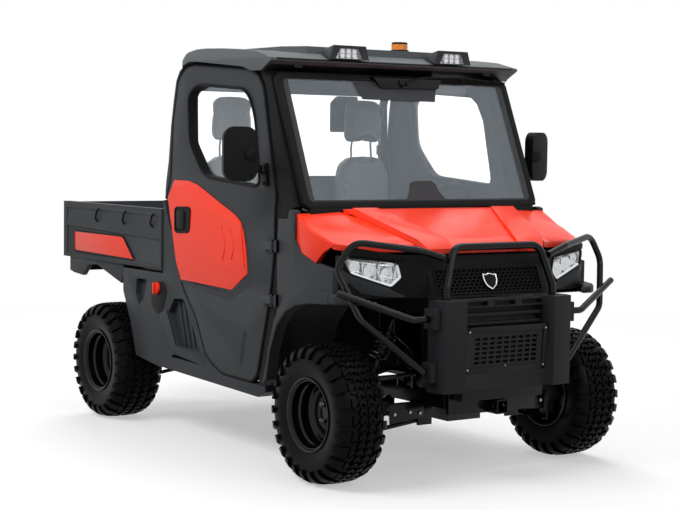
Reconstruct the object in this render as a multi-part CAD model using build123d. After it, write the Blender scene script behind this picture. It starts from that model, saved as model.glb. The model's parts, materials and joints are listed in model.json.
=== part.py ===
from build123d import *
import math
import os

# A side-by-side utility vehicle: closed two-seat cab, tipping cargo bed, four steel wheels.
# Millimetres. X is the vehicle's width (+X its left), the front faces -Y, +Z is up, and the
# origin is on the ground under the middle of the vehicle's length and width.

# ---- Driving dimensions -------------------------------------------------------------------

front_overhang = 430.0       # front axle to the bumper's face
wheelbase = 2064.0
rear_overhang = 546.0        # rear axle to the tailgate's face
tyre_diameter = 620.0
front_tyre_width = 254.0
rear_tyre_width = 272.0
width_over_tyres = 1612.0
rim_bead_radius = 152.4
rim_flange_radius = 165.0
rim_flange_inset = 17.0      # tyre's outer face to the rim's outer flange
rim_wall = 6.0
kingpin_x = 600.0            # steering axis, from the centre plane
kingpin_half_height = 100.0
spindle_radius = 20.0
running_clearance = 0.05
seat_gap = 0.3               # between two pieces that touch in use
panel_gap = 6.0              # between a moving panel and its neighbour

half_body = 725.0            # outer face of the door below the belt
belt_lean_in = 9.0           # how far the cab's side has leaned in at the belt
top_lean_in = 29.0           # and at the cab's top
belt_z = 1250.0
cab_top_z = 1900.0
panel_thickness = 50.0
cover_thickness = 7.0        # how far a painted door cover stands proud
glass_thickness = 6.0

windshield_base = (196.0, 1203.0)   # (behind the front axle, height)
windshield_top = (464.0, 78.0)      # (behind the front axle, drop below the cab's top)
windshield_side_gap = 12.0   # from the cab's side at its top
windshield_border = 34.0
windshield_frame_depth = 32.0

roof_side_overhang = 35.0    # past the cab's side at its top
roof_edge_chamfer = 32.0
roof_deck_rise = 50.0        # raised middle of the roof, above the cab's top

hood_half_rear = 490.0
hood_half_front = 366.0
hood_rear_y = 178.0
hood_rear_z = 1198.0
hood_front_y = -250.0
hood_sheet = 20.0

bed_proud = 3.0              # bed's side past the door's
bed_to_cab_gap = 20.0
bed_floor_z = 840.0
bed_floor_thickness = 28.0
bed_depth = 310.0
bed_wall = 34.0
tailgate_thickness = 34.0

rail_x = 235.0
rail_width = 50.0
rail_bottom_z = 335.0
rail_height = 60.0
upper_rail_x = 385.0
upper_rail_z = 740.0
upper_rail_height = 60.0

guard_tube_radius = 17.0
guard_loop_radius = 15.0

# ---- Places that follow from them ---------------------------------------------------------

overall_length = front_overhang + wheelbase + rear_overhang
front_y = -overall_length / 2
rear_y = overall_length / 2
front_axle_y = front_y + front_overhang
rear_axle_y = front_axle_y + wheelbase
axle_z = tyre_diameter / 2
half_over_tyres = width_over_tyres / 2
cab_half_belt = half_body - belt_lean_in
cab_half_top = half_body - top_lean_in
windshield_half_width = cab_half_top - windshield_side_gap
roof_half_width = cab_half_top + roof_side_overhang
roof_deck_z = cab_top_z + roof_deck_rise
bed_half_width = half_body + bed_proud
bed_top_z = bed_floor_z + bed_depth


def behind_front(y):
    """A place along the vehicle, given as a distance behind the front axle."""
    return front_axle_y + y


def behind_rear(y):
    """A place along the vehicle, given as a distance behind the rear axle."""
    return rear_axle_y + y


def fore(points):
    """(distance behind the front axle, height) pairs as (y, z)."""
    return [(behind_front(y), z) for y, z in points]


def aft(points):
    """(distance behind the rear axle, height) pairs as (y, z)."""
    return [(behind_rear(y), z) for y, z in points]


def hung(points):
    """(distance behind the front axle, drop below the cab's top) pairs as (y, z)."""
    return [(behind_front(y), cab_top_z - drop) for y, drop in points]


# ---- Solids from outlines -----------------------------------------------------------------

def prism_x(points_yz, x_low, x_high, corner=0.0):
    """A side-view outline, extruded across the vehicle, with its corners rounded."""
    face = Plane.YZ.offset(x_low) * Polygon(*points_yz, align=None)
    if corner:
        face = fillet(face.vertices(), corner)
    return extrude(face, x_high - x_low, dir=(1, 0, 0))


def prism_y(points_xz, y_low, y_high):
    """A front-view outline, extruded along the vehicle."""
    face = Plane.XZ.offset(-y_high) * Polygon(*points_xz, align=None)
    return extrude(face, y_high - y_low, dir=(0, -1, 0))


def prism_z(points_xy, z_low, z_high):
    """A plan outline, extruded upwards."""
    face = Plane.XY.offset(z_low) * Polygon(*points_xy, align=None)
    return extrude(face, z_high - z_low, dir=(0, 0, 1))


def block(x_low, x_high, y_low, y_high, z_low, z_high):
    centre = Pos((x_low + x_high) / 2, (y_low + y_high) / 2, (z_low + z_high) / 2)
    return centre * Box(x_high - x_low, y_high - y_low, z_high - z_low)


def rod_along_x(x_low, x_high, y, z, radius):
    turned = Pos((x_low + x_high) / 2, y, z) * Rot(0, 90, 0)
    return turned * Cylinder(radius, x_high - x_low)


def rod_along_z(x, y, z_low, z_high, radius):
    return Pos(x, y, (z_low + z_high) / 2) * Cylinder(radius, z_high - z_low)


def rod_along_y(x, y_low, y_high, z, radius):
    turned = Pos(x, (y_low + y_high) / 2, z) * Rot(90, 0, 0)
    return turned * Cylinder(radius, y_high - y_low)


def bar(start, end, radius):
    """A straight round bar between two points."""
    start, end = Vector(*start), Vector(*end)
    plane = Plane(origin=start, z_dir=end - start)
    return extrude(plane * Circle(radius), (end - start).length)


def bent_tube(points, bends, radius):
    """A round tube along straight runs, with one bend radius for each corner."""
    path = FilletPolyline(*points, radius=bends)
    start = Plane(origin=path @ 0, z_dir=path % 0)
    return sweep(start * Circle(radius), path)


def ruled(sections):
    """A solid with straight sides through flat sections, each a list of (x, y, z) corners."""
    return loft([Face(Wire.make_polygon([Vector(*corner) for corner in section], close=True))
                 for section in sections], ruled=True)


def mirrored(shape):
    return mirror(shape, about=Plane.YZ)


def pair(shape):
    """A piece on the vehicle's left and the same on its right."""
    return [shape, mirrored(shape)]


nodes = {}


def node(name, *shapes):
    nodes[name] = [solid for shape in shapes for solid in shape.solids()]


# ---- Cab's cross-section, which the doors and pillars lean with ------------------------------

def cab_wall(points_yz, thickness, proud=0.0, corner=0.0):
    """A side panel from its side-view outline, leaning in above the belt as the cab does."""
    lean = [(half_body + proud, 250.0), (half_body + proud, 900.0),
            (cab_half_belt + proud, belt_z), (cab_half_top + proud, cab_top_z)]
    inner = [(x - thickness, z) for x, z in reversed(lean)]
    y_values = [y for y, z in points_yz]
    skin = prism_y(lean + inner, min(y_values) - 1, max(y_values) + 1)
    return skin & prism_x(points_yz, cab_half_top - 100, half_body + 20, corner)


# ---- Wheels, knuckles and axles --------------------------------------------------------------

hub_face_x = 640.0           # knuckle's outer end
disc_x = 664.0               # wheel disc's inner face
hub_length = 56.0
hub_radius = 44.0
disc_thickness = 8.0

lug_count = 16               # in each of a tyre's two shoulder rows
lug_height = 12.0
lug_length = 62.0            # round the tyre
# (share of half the width, radius as a share of the way from bead to carcass crown)
sidewall = [(0.72, 0.0), (0.90, 0.16), (1.00, 0.42)]
crown = [(1.00, 0.42), (0.97, 0.72), (0.86, 0.93), (0.55, 1.0)]
# (share of half the width, radius as a share of the way from bead to the lugs' tips)
lug_section = [(0.42, 0.80), (0.42, 1.0), (0.84, 1.0), (0.99, 0.74), (0.80, 0.70)]


def ringed(sections):
    """A faceted solid along X through (x, radius of its facets' middles) stations."""
    corner = 1 / math.cos(math.pi / lug_count)
    rings = [Plane.YZ.offset(x) * RegularPolygon(radius * corner, lug_count) for x, radius in sections]
    return loft(rings, ruled=True)


def tyre(width, y, left):
    """A faceted carcass with a row of blocks round each shoulder."""
    half, centre_x = width / 2, half_over_tyres - width / 2
    bead, tread = rim_bead_radius + seat_gap, tyre_diameter / 2
    carcass = tread - lug_height
    outer = [(half * share, bead + (carcass - bead) * up) for share, up in crown]
    body = ringed([(-x, radius) for x, radius in outer] + outer[::-1])
    dish = [(half * share, bead + (carcass - bead) * up) for share, up in sidewall]
    for sign in (-1, 1):
        body -= ringed([(sign * x, radius) for x, radius in dish] + [(sign * (half + 1), dish[-1][1] + 1)])
    lug_face = [(half * share, bead + (tread - bead) * up) for share, up in lug_section]
    lugs = []
    for sign, first in ((1, 0.0), (-1, 0.5)):
        outline = [(sign * x, radius) for x, radius in lug_face]
        lug = extrude(Plane.XZ.offset(-lug_length / 2) * Polygon(*outline, align=None), lug_length, dir=(0, -1, 0))
        lugs += [Rot(360 * (step + first) / lug_count, 0, 0) * lug for step in range(lug_count)]
    body = body.fuse(*lugs) - rod_along_x(-half - 1, half + 1, 0, 0, bead)
    body = Pos(centre_x, y, axle_z) * body
    return body if left else mirrored(body)


def rim(width, y, left):
    """A deep-dish steel wheel: barrel, two flanges, disc, and a hub with a blind bore."""
    centre_x = half_over_tyres - width / 2
    outer_x = half_over_tyres - rim_flange_inset
    inner_x = 2 * centre_x - outer_x
    barrel = rod_along_x(inner_x, outer_x, y, axle_z, rim_bead_radius)
    flanges = [rod_along_x(x, x + rim_wall, y, axle_z, rim_flange_radius)
               for x in (inner_x, outer_x - rim_wall)]
    inside = rod_along_x(inner_x - 1, outer_x + 1, y, axle_z, rim_bead_radius - rim_wall)
    disc = rod_along_x(disc_x, disc_x + disc_thickness, y, axle_z, rim_bead_radius - 1)
    hub = rod_along_x(hub_face_x + 0.5, hub_face_x + 0.5 + hub_length, y, axle_z, hub_radius)
    bore = rod_along_x(hub_face_x, hub_face_x + hub_length - 6, y, axle_z,
                       spindle_radius + running_clearance)
    body = barrel + flanges[0] + flanges[1] - inside + disc + hub - bore
    return body if left else mirrored(body)


def knuckle(y):
    """Hub carrier, kingpin post and the spindle that the wheel turns on."""
    carrier = rod_along_x(kingpin_x - 28, hub_face_x, y, axle_z, 52.0)
    post = block(kingpin_x - 22, kingpin_x + 22, y - 26, y + 26,
                 axle_z - kingpin_half_height, axle_z + kingpin_half_height)
    spindle = rod_along_x(hub_face_x, hub_face_x + hub_length - 8, y, axle_z, spindle_radius)
    return carrier + post + spindle


for end, y, width in (("front", front_axle_y, front_tyre_width), ("rear", rear_axle_y, rear_tyre_width)):
    for side, left in (("left", True), ("right", False)):
        node(f"tyre_{end}_{side}", tyre(width, y, left))
        node(f"rim_{end}_{side}", rim(width, y, left))
node("knuckle_left", knuckle(front_axle_y))
node("knuckle_right", mirrored(knuckle(front_axle_y)))
node("rear_knuckles", *pair(knuckle(rear_axle_y)))

# A-arms: (name, height at the frame, spread at the frame, side of the knuckle)
arm_tube_radius = 14.0
arm_boss_radius = 22.0
arm_boss_height = 32.0
arm_link_radius = 10.0
arm_frame_x = rail_x + rail_width / 2 + arm_tube_radius + 1
arm_table = [("lower", 262.0, 115.0, -1), ("upper", 470.0, 95.0, 1)]
shock_cross_x = 430.0        # where the shock stands on the upper arm
arms = []
for y in (front_axle_y, rear_axle_y):
    for name, frame_z, spread, up in arm_table:
        seat = axle_z + up * (kingpin_half_height + seat_gap)
        low, high = sorted((seat, seat + up * arm_boss_height))
        boss = rod_along_z(kingpin_x, y, low, high, arm_boss_radius)
        link_z = seat + up * arm_boss_height * 0.62
        for sign in (-1, 1):
            boss += bar((arm_frame_x, y + sign * spread, frame_z), (kingpin_x, y, link_z), arm_link_radius)
        if up > 0:
            share = (shock_cross_x - arm_frame_x) / (kingpin_x - arm_frame_x)
            cross_y, shock_cross_z = spread * (1 - share), frame_z + share * (link_z - frame_z)
            boss += rod_along_y(shock_cross_x, y - cross_y, y + cross_y, shock_cross_z, arm_link_radius)
        boss += bar((arm_frame_x, y - spread - 20, frame_z), (arm_frame_x, y + spread + 20, frame_z),
                    arm_tube_radius)
        arms += pair(boss)
node("suspension_arms", *arms)

# Final drives with half shafts that stop short of the turning knuckles
diff_half_width = 95.0
shaft_end_x = kingpin_x - 60
axles = []
for y in (front_axle_y, rear_axle_y):
    housing = block(-diff_half_width, diff_half_width, y - 110, y + 110, axle_z - 70, axle_z + 90)
    beam_half = rail_x - rail_width / 2 - seat_gap
    housing += block(-beam_half, beam_half, y - 22, y + 22, rail_bottom_z + 8, rail_bottom_z + 48)
    housing += rod_along_x(-shaft_end_x, shaft_end_x, y, axle_z, 16.0)
    for sign in (-1, 1):
        low, high = sorted((sign * (shaft_end_x - 60), sign * shaft_end_x))
        housing += rod_along_x(low, high, y, axle_z, 34.0)
    axles.append(housing)
node("drive_axles", *axles)

# Coil-over shocks from the upper arms' cross tubes to pins in the frame's towers
shock_head_x, shock_head_z = 330.0, 700.0
shock_rod_radius, spring_radius, eye_radius = 15.0, 34.0, 16.0
tower_gap_half = 49.0        # half the room between a pair of towers
shock_foot_z = shock_cross_z + arm_link_radius + eye_radius + seat_gap
shocks = []
for y in (front_axle_y, rear_axle_y):
    foot, head = (shock_cross_x, y, shock_foot_z), (shock_head_x, y, shock_head_z)
    spring_end = (shock_cross_x + 0.35 * (shock_head_x - shock_cross_x), y,
                  shock_foot_z + 0.35 * (shock_head_z - shock_foot_z))
    shock = bar(foot, head, shock_rod_radius) + bar(spring_end, head, spring_radius)
    shock += rod_along_y(shock_cross_x, y - 18, y + 18, shock_foot_z, eye_radius)
    shock += rod_along_y(shock_head_x, y - tower_gap_half + seat_gap, y + tower_gap_half - seat_gap, shock_head_z, 9.0)
    shocks += pair(shock)
node("shocks", *shocks)

# ---- Chassis -----------------------------------------------------------------------------------

rail_front = behind_front(-290.0)
rail_rear = behind_rear(430.0)
rail_top_z = rail_bottom_z + rail_height
rails = pair(block(rail_x - rail_width / 2, rail_x + rail_width / 2, rail_front, rail_rear,
                   rail_bottom_z, rail_top_z))
inner_half = rail_x - rail_width / 2 - seat_gap
cross_places = [behind_front(-265.0), behind_front(330.0), behind_front(800.0), behind_front(1290.0),
                behind_rear(-160.0), behind_rear(180.0), behind_rear(405.0)]
members = [block(-inner_half, inner_half, y - 25, y + 25, rail_bottom_z, rail_top_z) for y in cross_places]
upper_front = behind_front(1465.0)
upper_rear = behind_rear(400.0)
upper_rails = pair(block(upper_rail_x - 25, upper_rail_x + 25, upper_front, upper_rear,
                         upper_rail_z, upper_rail_z + upper_rail_height))
post_places = [behind_front(1490.0), behind_rear(370.0)]
posts = []
for y in post_places:
    outline = [(rail_x + rail_width / 2 + seat_gap, rail_bottom_z), (upper_rail_x + 25, rail_bottom_z + 120),
               (upper_rail_x + 25, upper_rail_z - seat_gap), (upper_rail_x - 25, upper_rail_z - seat_gap),
               (upper_rail_x - 25, rail_bottom_z + 150), (rail_x + rail_width / 2 + seat_gap, rail_top_z)]
    posts += pair(prism_y(outline, y - 22, y + 22))
# Ears and pins at the upper rails' rear ends, which the bed tips on
bed_hinge_y, bed_hinge_z = behind_rear(376.0), upper_rail_z + upper_rail_height + 12
bed_pin_radius, bed_barrel_radius, bed_barrel_half = 6.0, 11.0, 20.0
for sign in (-1, 1):
    middle = sign * upper_rail_x
    ears = rod_along_x(middle - bed_barrel_half - 8, middle + bed_barrel_half + 8, bed_hinge_y, bed_hinge_z,
                       bed_pin_radius)
    for low in (middle - bed_barrel_half - 7, middle + bed_barrel_half + 1):
        ears += rod_along_x(low, low + 6, bed_hinge_y, bed_hinge_z, bed_barrel_radius)
        ears += block(low, low + 6, bed_hinge_y - bed_barrel_radius, bed_hinge_y + bed_barrel_radius,
                      upper_rail_z + upper_rail_height - 5, bed_hinge_z)
    side = 0 if sign > 0 else 1
    upper_rails[side] += ears
node("frame_rails", *rails, *members, *upper_rails, *posts)

engine_front = behind_front(1500.0)
node("engine_block", block(-200.0, 200.0, engine_front, engine_front + 430.0, rail_top_z + seat_gap, 760.0))

# Front towers and skid, ahead of the arms
nose_half = 250.0
nose_y = rail_front - 20
nose = block(-nose_half, nose_half, nose_y, rail_front - seat_gap, 306.0, 440.0)
tower_top = upper_rail_z - seat_gap
tower_outline = [(rail_x + 25, rail_top_z + seat_gap), (rail_x + 25, 560.0), (shock_head_x + 40, 650.0),
                 (shock_head_x + 40, tower_top), (rail_x - 25, tower_top), (rail_x - 25, rail_top_z + seat_gap)]
towers = []
for y in (front_axle_y, rear_axle_y):
    for sign in (-1, 1):
        low, high = sorted((y + sign * tower_gap_half, y + sign * (tower_gap_half + 12)))
        towers += pair(prism_y(tower_outline, low, high))
        end = y + sign * (arm_table[0][2] + 20 + seat_gap)
        low, high = sorted((end, end + sign * 12))
        towers += pair(block(rail_x - 20, arm_frame_x + 18, low, high, arm_table[0][1] - 18, rail_bottom_z - seat_gap))
frame_brackets = [nose, *towers]

# Hitch sockets: square tubes with a pin hole across
socket_outer, socket_inner, socket_length, hitch_pin_radius = 63.5, 51.0, 150.0, 8.0
socket_z = 338.0
sockets = []
for forward in (True, False):
    low, high = (nose_y - 70, nose_y - seat_gap) if forward else (rail_rear + seat_gap, rail_rear + 90)
    half = socket_outer / 2
    shell = block(-half, half, low, high, socket_z - half, socket_z + half)
    hollow = socket_inner / 2
    y_pin = low + 25 if forward else high - 25
    shell -= block(-hollow, hollow, low - 1, high + 1, socket_z - hollow, socket_z + hollow)
    shell -= rod_along_x(-half - 1, half + 1, y_pin, socket_z, hitch_pin_radius)
    sockets.append(shell)
node("receivers", *sockets)

# ---- Cab tub and rear wall ----------------------------------------------------------------------

side_depth = 70.0            # cab's side panels, through their thickness
side_inner_x = half_body - side_depth
tub_half = side_inner_x - seat_gap
tub_wall = 30.0
floor_z = rail_top_z + seat_gap
firewall_y = behind_front(450.0)
cab_rear_y = behind_front(1428.0)
seat_box_front = behind_front(930.0)
seat_box_top = 720.0
dash_low = 942.0
tub = block(-tub_half, tub_half, firewall_y, cab_rear_y, floor_z, floor_z + tub_wall)
tub += block(-tub_half, tub_half, firewall_y, firewall_y + tub_wall, floor_z, dash_low - seat_gap)
tub += block(-tub_half, tub_half, seat_box_front, cab_rear_y, floor_z, seat_box_top)
node("cab_tub", tub)

# (behind the front axle, drop): the roof's underside over the rear pillars
roof_rear_under = [(1290, 32), (1346, 58)]


def pillar_top(y):
    """The drop of a rear pillar's top, which lies just under the roof."""
    (y_low, drop_low), (y_high, drop_high) = roof_rear_under
    return drop_low + (drop_high - drop_low) * (y - y_low) / (y_high - y_low) + seat_gap


rear_pillar_outline = (
    fore([(1434, belt_z - 50), (1396, belt_z + 62)])
    + hung([(1391, 307), (1352, 101), (1302, pillar_top(1302)), (1336, pillar_top(1336)), (1369, 105), (1388, 202),
            (1407, 327), (1419, 503), (1437, 605), (1442, 650)])
    + fore([(1442, belt_z - 50)]))
node("rear_pillars", *pair(cab_wall(rear_pillar_outline, 60.0)))

rear_wall_thickness = 28.0
rear_wall_y = cab_rear_y - rear_wall_thickness
window_half, window_low, window_high = 596.0, belt_z + 70, cab_top_z - 150
wall_back = fore([(1428, seat_box_top + seat_gap)]) + hung([(1428, 200), (1376, 62)])
wall_side = wall_back + [(y - rear_wall_thickness, z) for y, z in reversed(wall_back)]
wall_half_low, wall_half_top = side_inner_x - seat_gap, cab_half_top - 62.0
wall_top_z = cab_top_z - 60
wall_section = [(-wall_half_low, 700), (wall_half_low, 700), (wall_half_low, belt_z), (wall_half_top, wall_top_z),
                (-wall_half_top, wall_top_z), (-wall_half_low, belt_z)]
rear_wall = prism_x(wall_side, -wall_half_low, wall_half_low) & prism_y(wall_section, rear_wall_y - 80, cab_rear_y + 1)
rear_wall -= block(-window_half, window_half, rear_wall_y - 30, cab_rear_y + 1, window_low, window_high)
node("rear_wall", rear_wall)
rear_glass_y = cab_rear_y - 25
rear_glass = block(-window_half + seat_gap, window_half - seat_gap, rear_glass_y, rear_glass_y + glass_thickness,
                   window_low + seat_gap, window_high - seat_gap)

# ---- Windshield, pillars and roof -----------------------------------------------------------------

base_y, base_z = behind_front(windshield_base[0]), windshield_base[1]
top_y, top_z = behind_front(windshield_top[0]), cab_top_z - windshield_top[1]
windshield_length = math.hypot(top_y - base_y, top_z - base_z)
windshield_rake = math.degrees(math.atan2(top_y - base_y, top_z - base_z))
# Local X runs across, local Y up the glass, and local Z forwards out of it.
windshield_plane = Plane(origin=(0, base_y, base_z), x_dir=(1, 0, 0),
                         z_dir=(0, base_z - top_z, top_y - base_y))
middle = Pos(0, windshield_length / 2)
frame_blank = extrude(windshield_plane * middle * RectangleRounded(2 * windshield_half_width, windshield_length, 40),
                      -windshield_frame_depth)
opening_size = (2 * (windshield_half_width - windshield_border), windshield_length - 2 * windshield_border)
glass_hole = extrude(windshield_plane.offset(5) * middle * RectangleRounded(*opening_size, 24),
                     -windshield_frame_depth - 10)
node("windshield_frame", frame_blank - glass_hole)
glass_size = (opening_size[0] - 2 * seat_gap, opening_size[1] - 2 * seat_gap)
windshield = extrude(windshield_plane.offset(-4) * middle * RectangleRounded(*glass_size, 24 - seat_gap),
                     -glass_thickness)
node("cab_glass", windshield, rear_glass)

pillar_low_z, pillar_top_z = 1206.0, cab_top_z - 76 - seat_gap


def windshield_back(z):
    """How far behind the front axle the windshield frame's back face lies at a height."""
    rake = math.radians(windshield_rake)
    return windshield_base[0] + (windshield_frame_depth + seat_gap) / math.cos(rake) + (z - base_z) * math.tan(rake)


# (behind the front axle, height): the cowl's rear edge, and the door's front edge below the belt
cowl_rear_edge = [(331, 1153), (344, 1146), (353, 1025), (344, 780), (352, 700), (385, 590), (425, 480), (460, 374)]
door_front_edge = [(395, belt_z), (402, 1180), (392, 1023), (412, 860), (430, 772), (478, 600), (528, 420)]
post_front = [(y + seat_gap, z) for y, z in cowl_rear_edge[1:]]
post_rear = [(y - panel_gap, z) for y, z in door_front_edge]
front_pillar_outline = (
    fore([(windshield_back(pillar_low_z), pillar_low_z), (272, 1196), (272, 1153 + seat_gap),
          (331, 1153 + seat_gap)] + post_front + [(522, 374)] + post_rear[::-1])
    + hung([(530, 149)]) + fore([(590, pillar_top_z), (windshield_back(pillar_top_z), pillar_top_z)]))
node("front_pillars", *pair(cab_wall(front_pillar_outline, 60.0, proud=-8.0)))

# (behind the front axle, drop below the cab's top)
roof_bottom = [(508, 76), (600, 76), (676, 54), (1110, 18), (1200, 16)] + roof_rear_under
roof_top = [(1366, 58), (1290, 1), (1219, -33), (1147, -44), (1060, -45), (889, -39), (724, -29),
            (568, -14), (426, 20), (424, 32)]
roof_high = cab_top_z + 60.0
roof_low = cab_top_z - 120.0
roof_edge_z = cab_top_z - roof_edge_chamfer / 2
roof_section = [(-roof_half_width, roof_low), (roof_half_width, roof_low), (roof_half_width, roof_edge_z),
                (roof_half_width - roof_edge_chamfer, roof_high), (-roof_half_width + roof_edge_chamfer, roof_high),
                (-roof_half_width, roof_edge_z)]
roof = prism_x(hung(roof_bottom + roof_top), -roof_half_width, roof_half_width)
roof &= prism_y(roof_section, behind_front(400), behind_front(1400))
# In plan, the roof's rear corners draw in
roof_plan = [(roof_half_width, behind_front(400)), (roof_half_width, behind_front(1170)),
             (cab_half_top + 6, behind_front(1300)), (cab_half_top - 50, behind_front(1400))]
roof &= prism_z(roof_plan + [(-x, y) for x, y in reversed(roof_plan)], roof_low, roof_high)
deck = [(-430, behind_front(590)), (430, behind_front(590)), (500, behind_front(700)), (500, behind_front(1140)),
        (430, behind_front(1220)), (-430, behind_front(1220)), (-500, behind_front(1140)), (-500, behind_front(700))]
roof += prism_z(deck, cab_top_z + 10, roof_deck_z)
# Hollow under the shell, over the cab
roof -= prism_x(hung([(640, 120), (1240, 120), (1240, 28), (1120, -2), (700, 10), (640, 48)]),
                -roof_half_width + 90, roof_half_width - 90)
node("roof_panel", roof)

rail_low = cab_top_z - 114.0
node("roof_rails", *pair(block(cab_half_top - 118, cab_half_top - 70, behind_front(660), behind_front(1350.5),
                               rail_low, rail_low + 44)))

lamp_x = 312.0
lamp_outline = [(-100, -7), (-62, 50), (62, 50), (100, -7)]
roof_lamp = prism_y([(lamp_x + x, cab_top_z + up) for x, up in lamp_outline], behind_front(404), behind_front(530))
roof_lamp -= prism_x(hung(roof_bottom + roof_top), lamp_x - 200, lamp_x + 200)
node("roof_lamps", *pair(roof_lamp))

beacon_x, beacon_y = 300.0, behind_front(840)
beacon_radius, beacon_height = 46.0, 62.0
beacon = rod_along_z(beacon_x, beacon_y, roof_deck_z + seat_gap, roof_deck_z + 22, beacon_radius + 12)
beacon += rod_along_z(beacon_x, beacon_y, roof_deck_z + 22, roof_deck_z + beacon_height, beacon_radius)
node("beacon", beacon)

# Cowl under the windshield, with ears and pins for the hood's two hinges
hood_hinge_y, hood_hinge_z = behind_front(186), 1190.0
hinge_pin_radius, hinge_barrel_radius, hinge_gap = 4.0, 8.0, 1.0
hinge_places = [(300.0, 360.0), (-360.0, -300.0)]
cowl_front = 194.0
cowl_panel = prism_x(fore([(cowl_front, 1150), (cowl_front, 1196), (196, 1202.4), (225.4, 1189.7), (249.7, 1184),
                           (249.7, 1150)]), -tub_half, tub_half)
for low, high in hinge_places:
    cowl_panel -= block(low - 8, high + 8, behind_front(190), behind_front(204), 1170, 1215)
    for ear_low in (low - 8, high + 2):
        cowl_panel += block(ear_low, ear_low + 6, hood_hinge_y, behind_front(206), hood_hinge_z - 7, hood_hinge_z + 7)
        cowl_panel += rod_along_x(ear_low, ear_low + 6, hood_hinge_y, hood_hinge_z, 7.0)
    cowl_panel += rod_along_x(low - 6, high + 6, hood_hinge_y, hood_hinge_z, hinge_pin_radius)
node("cowl_panel", cowl_panel)

# ---- Dash, steering wheel and seats ------------------------------------------------------------------

dash_outline = fore([(250, 1186), (420, 1196), (560, 1150), (585, 1060), (540, 960), (520, dash_low),
                     (455, dash_low), (455, 1040), (250, 1150)])
steering_x, steering_y, steering_z = half_body - 340, behind_front(590), 1160.0
steering_lean = 35.0         # wheel's plane leans forward at its top
wheel_rim_radius, wheel_tube_radius = 168.0, 13.0
column_radius, column_length = 20.0, 150.0
lean = math.radians(steering_lean)
steering_axis = (0.0, math.cos(lean), math.sin(lean))
wheel_plane = Plane(origin=(steering_x, steering_y, steering_z), x_dir=(1, 0, 0), z_dir=steering_axis)
steering = wheel_plane * Torus(wheel_rim_radius, wheel_tube_radius)
steering += extrude(wheel_plane.offset(-14) * Circle(42), 28)
for angle in (90, 210, 330):
    spoke = Rot(0, 0, angle) * Pos(wheel_rim_radius / 2, 0, 0) * Box(wheel_rim_radius, 26, 12)
    steering += wheel_plane * spoke
steering += extrude(wheel_plane.offset(-14) * Circle(column_radius), -column_length)
node("steering_wheel", steering)
dash_half = side_inner_x - 25
dash = prism_x(dash_outline, -dash_half, dash_half)
dash -= extrude(wheel_plane.offset(120) * Circle(column_radius + running_clearance), -column_length - 137)
node("dash", dash)

seat_x, seat_half, back_half = 385.0, 205.0, 172.0
cushion_front, cushion_rear = behind_front(800), behind_front(1245)
cushion_thickness = 120.0
back_low = seat_box_top + cushion_thickness - 10
back_outline = fore([(1245 + seat_gap, back_low), (1317, back_low), (1340, 1430), (1262, 1430)])
# The driver's seat stands further forward on its slides than the passenger's.
driver_forward, passenger_back = 20.0, 50.0
cushion = block(seat_x - seat_half, seat_x + seat_half, cushion_front, cushion_rear,
                seat_box_top + seat_gap, seat_box_top + cushion_thickness)
back = prism_x(back_outline, seat_x - back_half, seat_x + back_half)
posts = [rod_along_z(seat_x + sign * 62, behind_front(1302), 1430, 1560, 6.0) for sign in (-1, 1)]
rest = block(seat_x - 104, seat_x + 104, behind_front(1262), behind_front(1338), 1512, 1712)
back = back + posts[0] + posts[1] + rest
node("seat_cushions", Pos(0, -driver_forward, 0) * cushion, mirrored(Pos(0, passenger_back, 0) * cushion))
node("seat_backs", Pos(0, -driver_forward, 0) * back, mirrored(Pos(0, passenger_back, 0) * back))

# ---- Doors -------------------------------------------------------------------------------------------

door_outline = (
    fore([(1424, belt_z - 43), (1382, belt_z + 60)])
    + hung([(1381, 307), (1341, 101), (1269, 44), (1182, 32), (668, 68), (591, 89), (538, 150)])
    + fore(door_front_edge + [(572, 382), (844, 386), (938, 423), (1003, 462), (1102, 634), (1213, 748),
                              (1255, 806), (1309, 952), (1337, 1031), (1386, 1110)]))
window_outline = (
    hung([(1140, 127), (699, 157), (643, 196), (594, 283)])
    + fore([(527, belt_z + 38), (1050, belt_z + 75), (1207, belt_z + 239)]) + hung([(1228, 177)]))
cover_outline = fore([(1340, 1300), (1400, 1212), (1372, 1110), (1326, 1031), (1298, 952), (1250, 806), (752, 794),
                      (608, 881), (628, 992), (656, 1075), (685, 1120), (740, 1151), (1106, 1282), (1196, 1299)])
door_corner, window_corner, cover_corner = 12.0, 30.0, 14.0
door = cab_wall(door_outline, panel_thickness, corner=door_corner)
door -= prism_x(window_outline, 0, half_body + 50, window_corner)
door_hinge_x, door_hinge_y = half_body + 20.0, behind_front(372)
door_hinge_heights = [779.0, 1027.0]
hinge_half = 19.0
cowl_inner_x, cowl_outer_x = half_body - 26.0, half_body + 8.0
door_hinges = []
for z in door_hinge_heights:
    door += block(half_body + 2, door_hinge_x, door_hinge_y + 8, door_hinge_y + 63, z - hinge_half, z + hinge_half)
    door += block(half_body - 10, door_hinge_x, door_hinge_y + 62, door_hinge_y + 96, z - hinge_half, z + hinge_half)
    door += rod_along_z(door_hinge_x, door_hinge_y, z - hinge_half, z + hinge_half, 10.0)
    door -= rod_along_z(door_hinge_x, door_hinge_y, z - hinge_half - 1, z + hinge_half + 1, 6 + running_clearance)
    leaf = block(cowl_outer_x + seat_gap, door_hinge_x + 3, door_hinge_y - 40, door_hinge_y - 12, z - 28, z + 28)
    for low in (z - 28, z + hinge_half + 1):
        leaf += block(door_hinge_x - 8, door_hinge_x + 8, door_hinge_y - 14, door_hinge_y + 8, low, low + 8)
    leaf += rod_along_z(door_hinge_x, door_hinge_y, z - 27, z + 27, 6.0)
    door_hinges += pair(leaf)
node("door_hinges", *door_hinges)
node("door_shell_left", door)
node("door_shell_right", mirrored(door))
glass_inset = 20.0
glass = cab_wall(window_outline, glass_inset + glass_thickness, corner=window_corner)
glass -= cab_wall(window_outline, glass_inset)
node("door_glass_left", glass)
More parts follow.
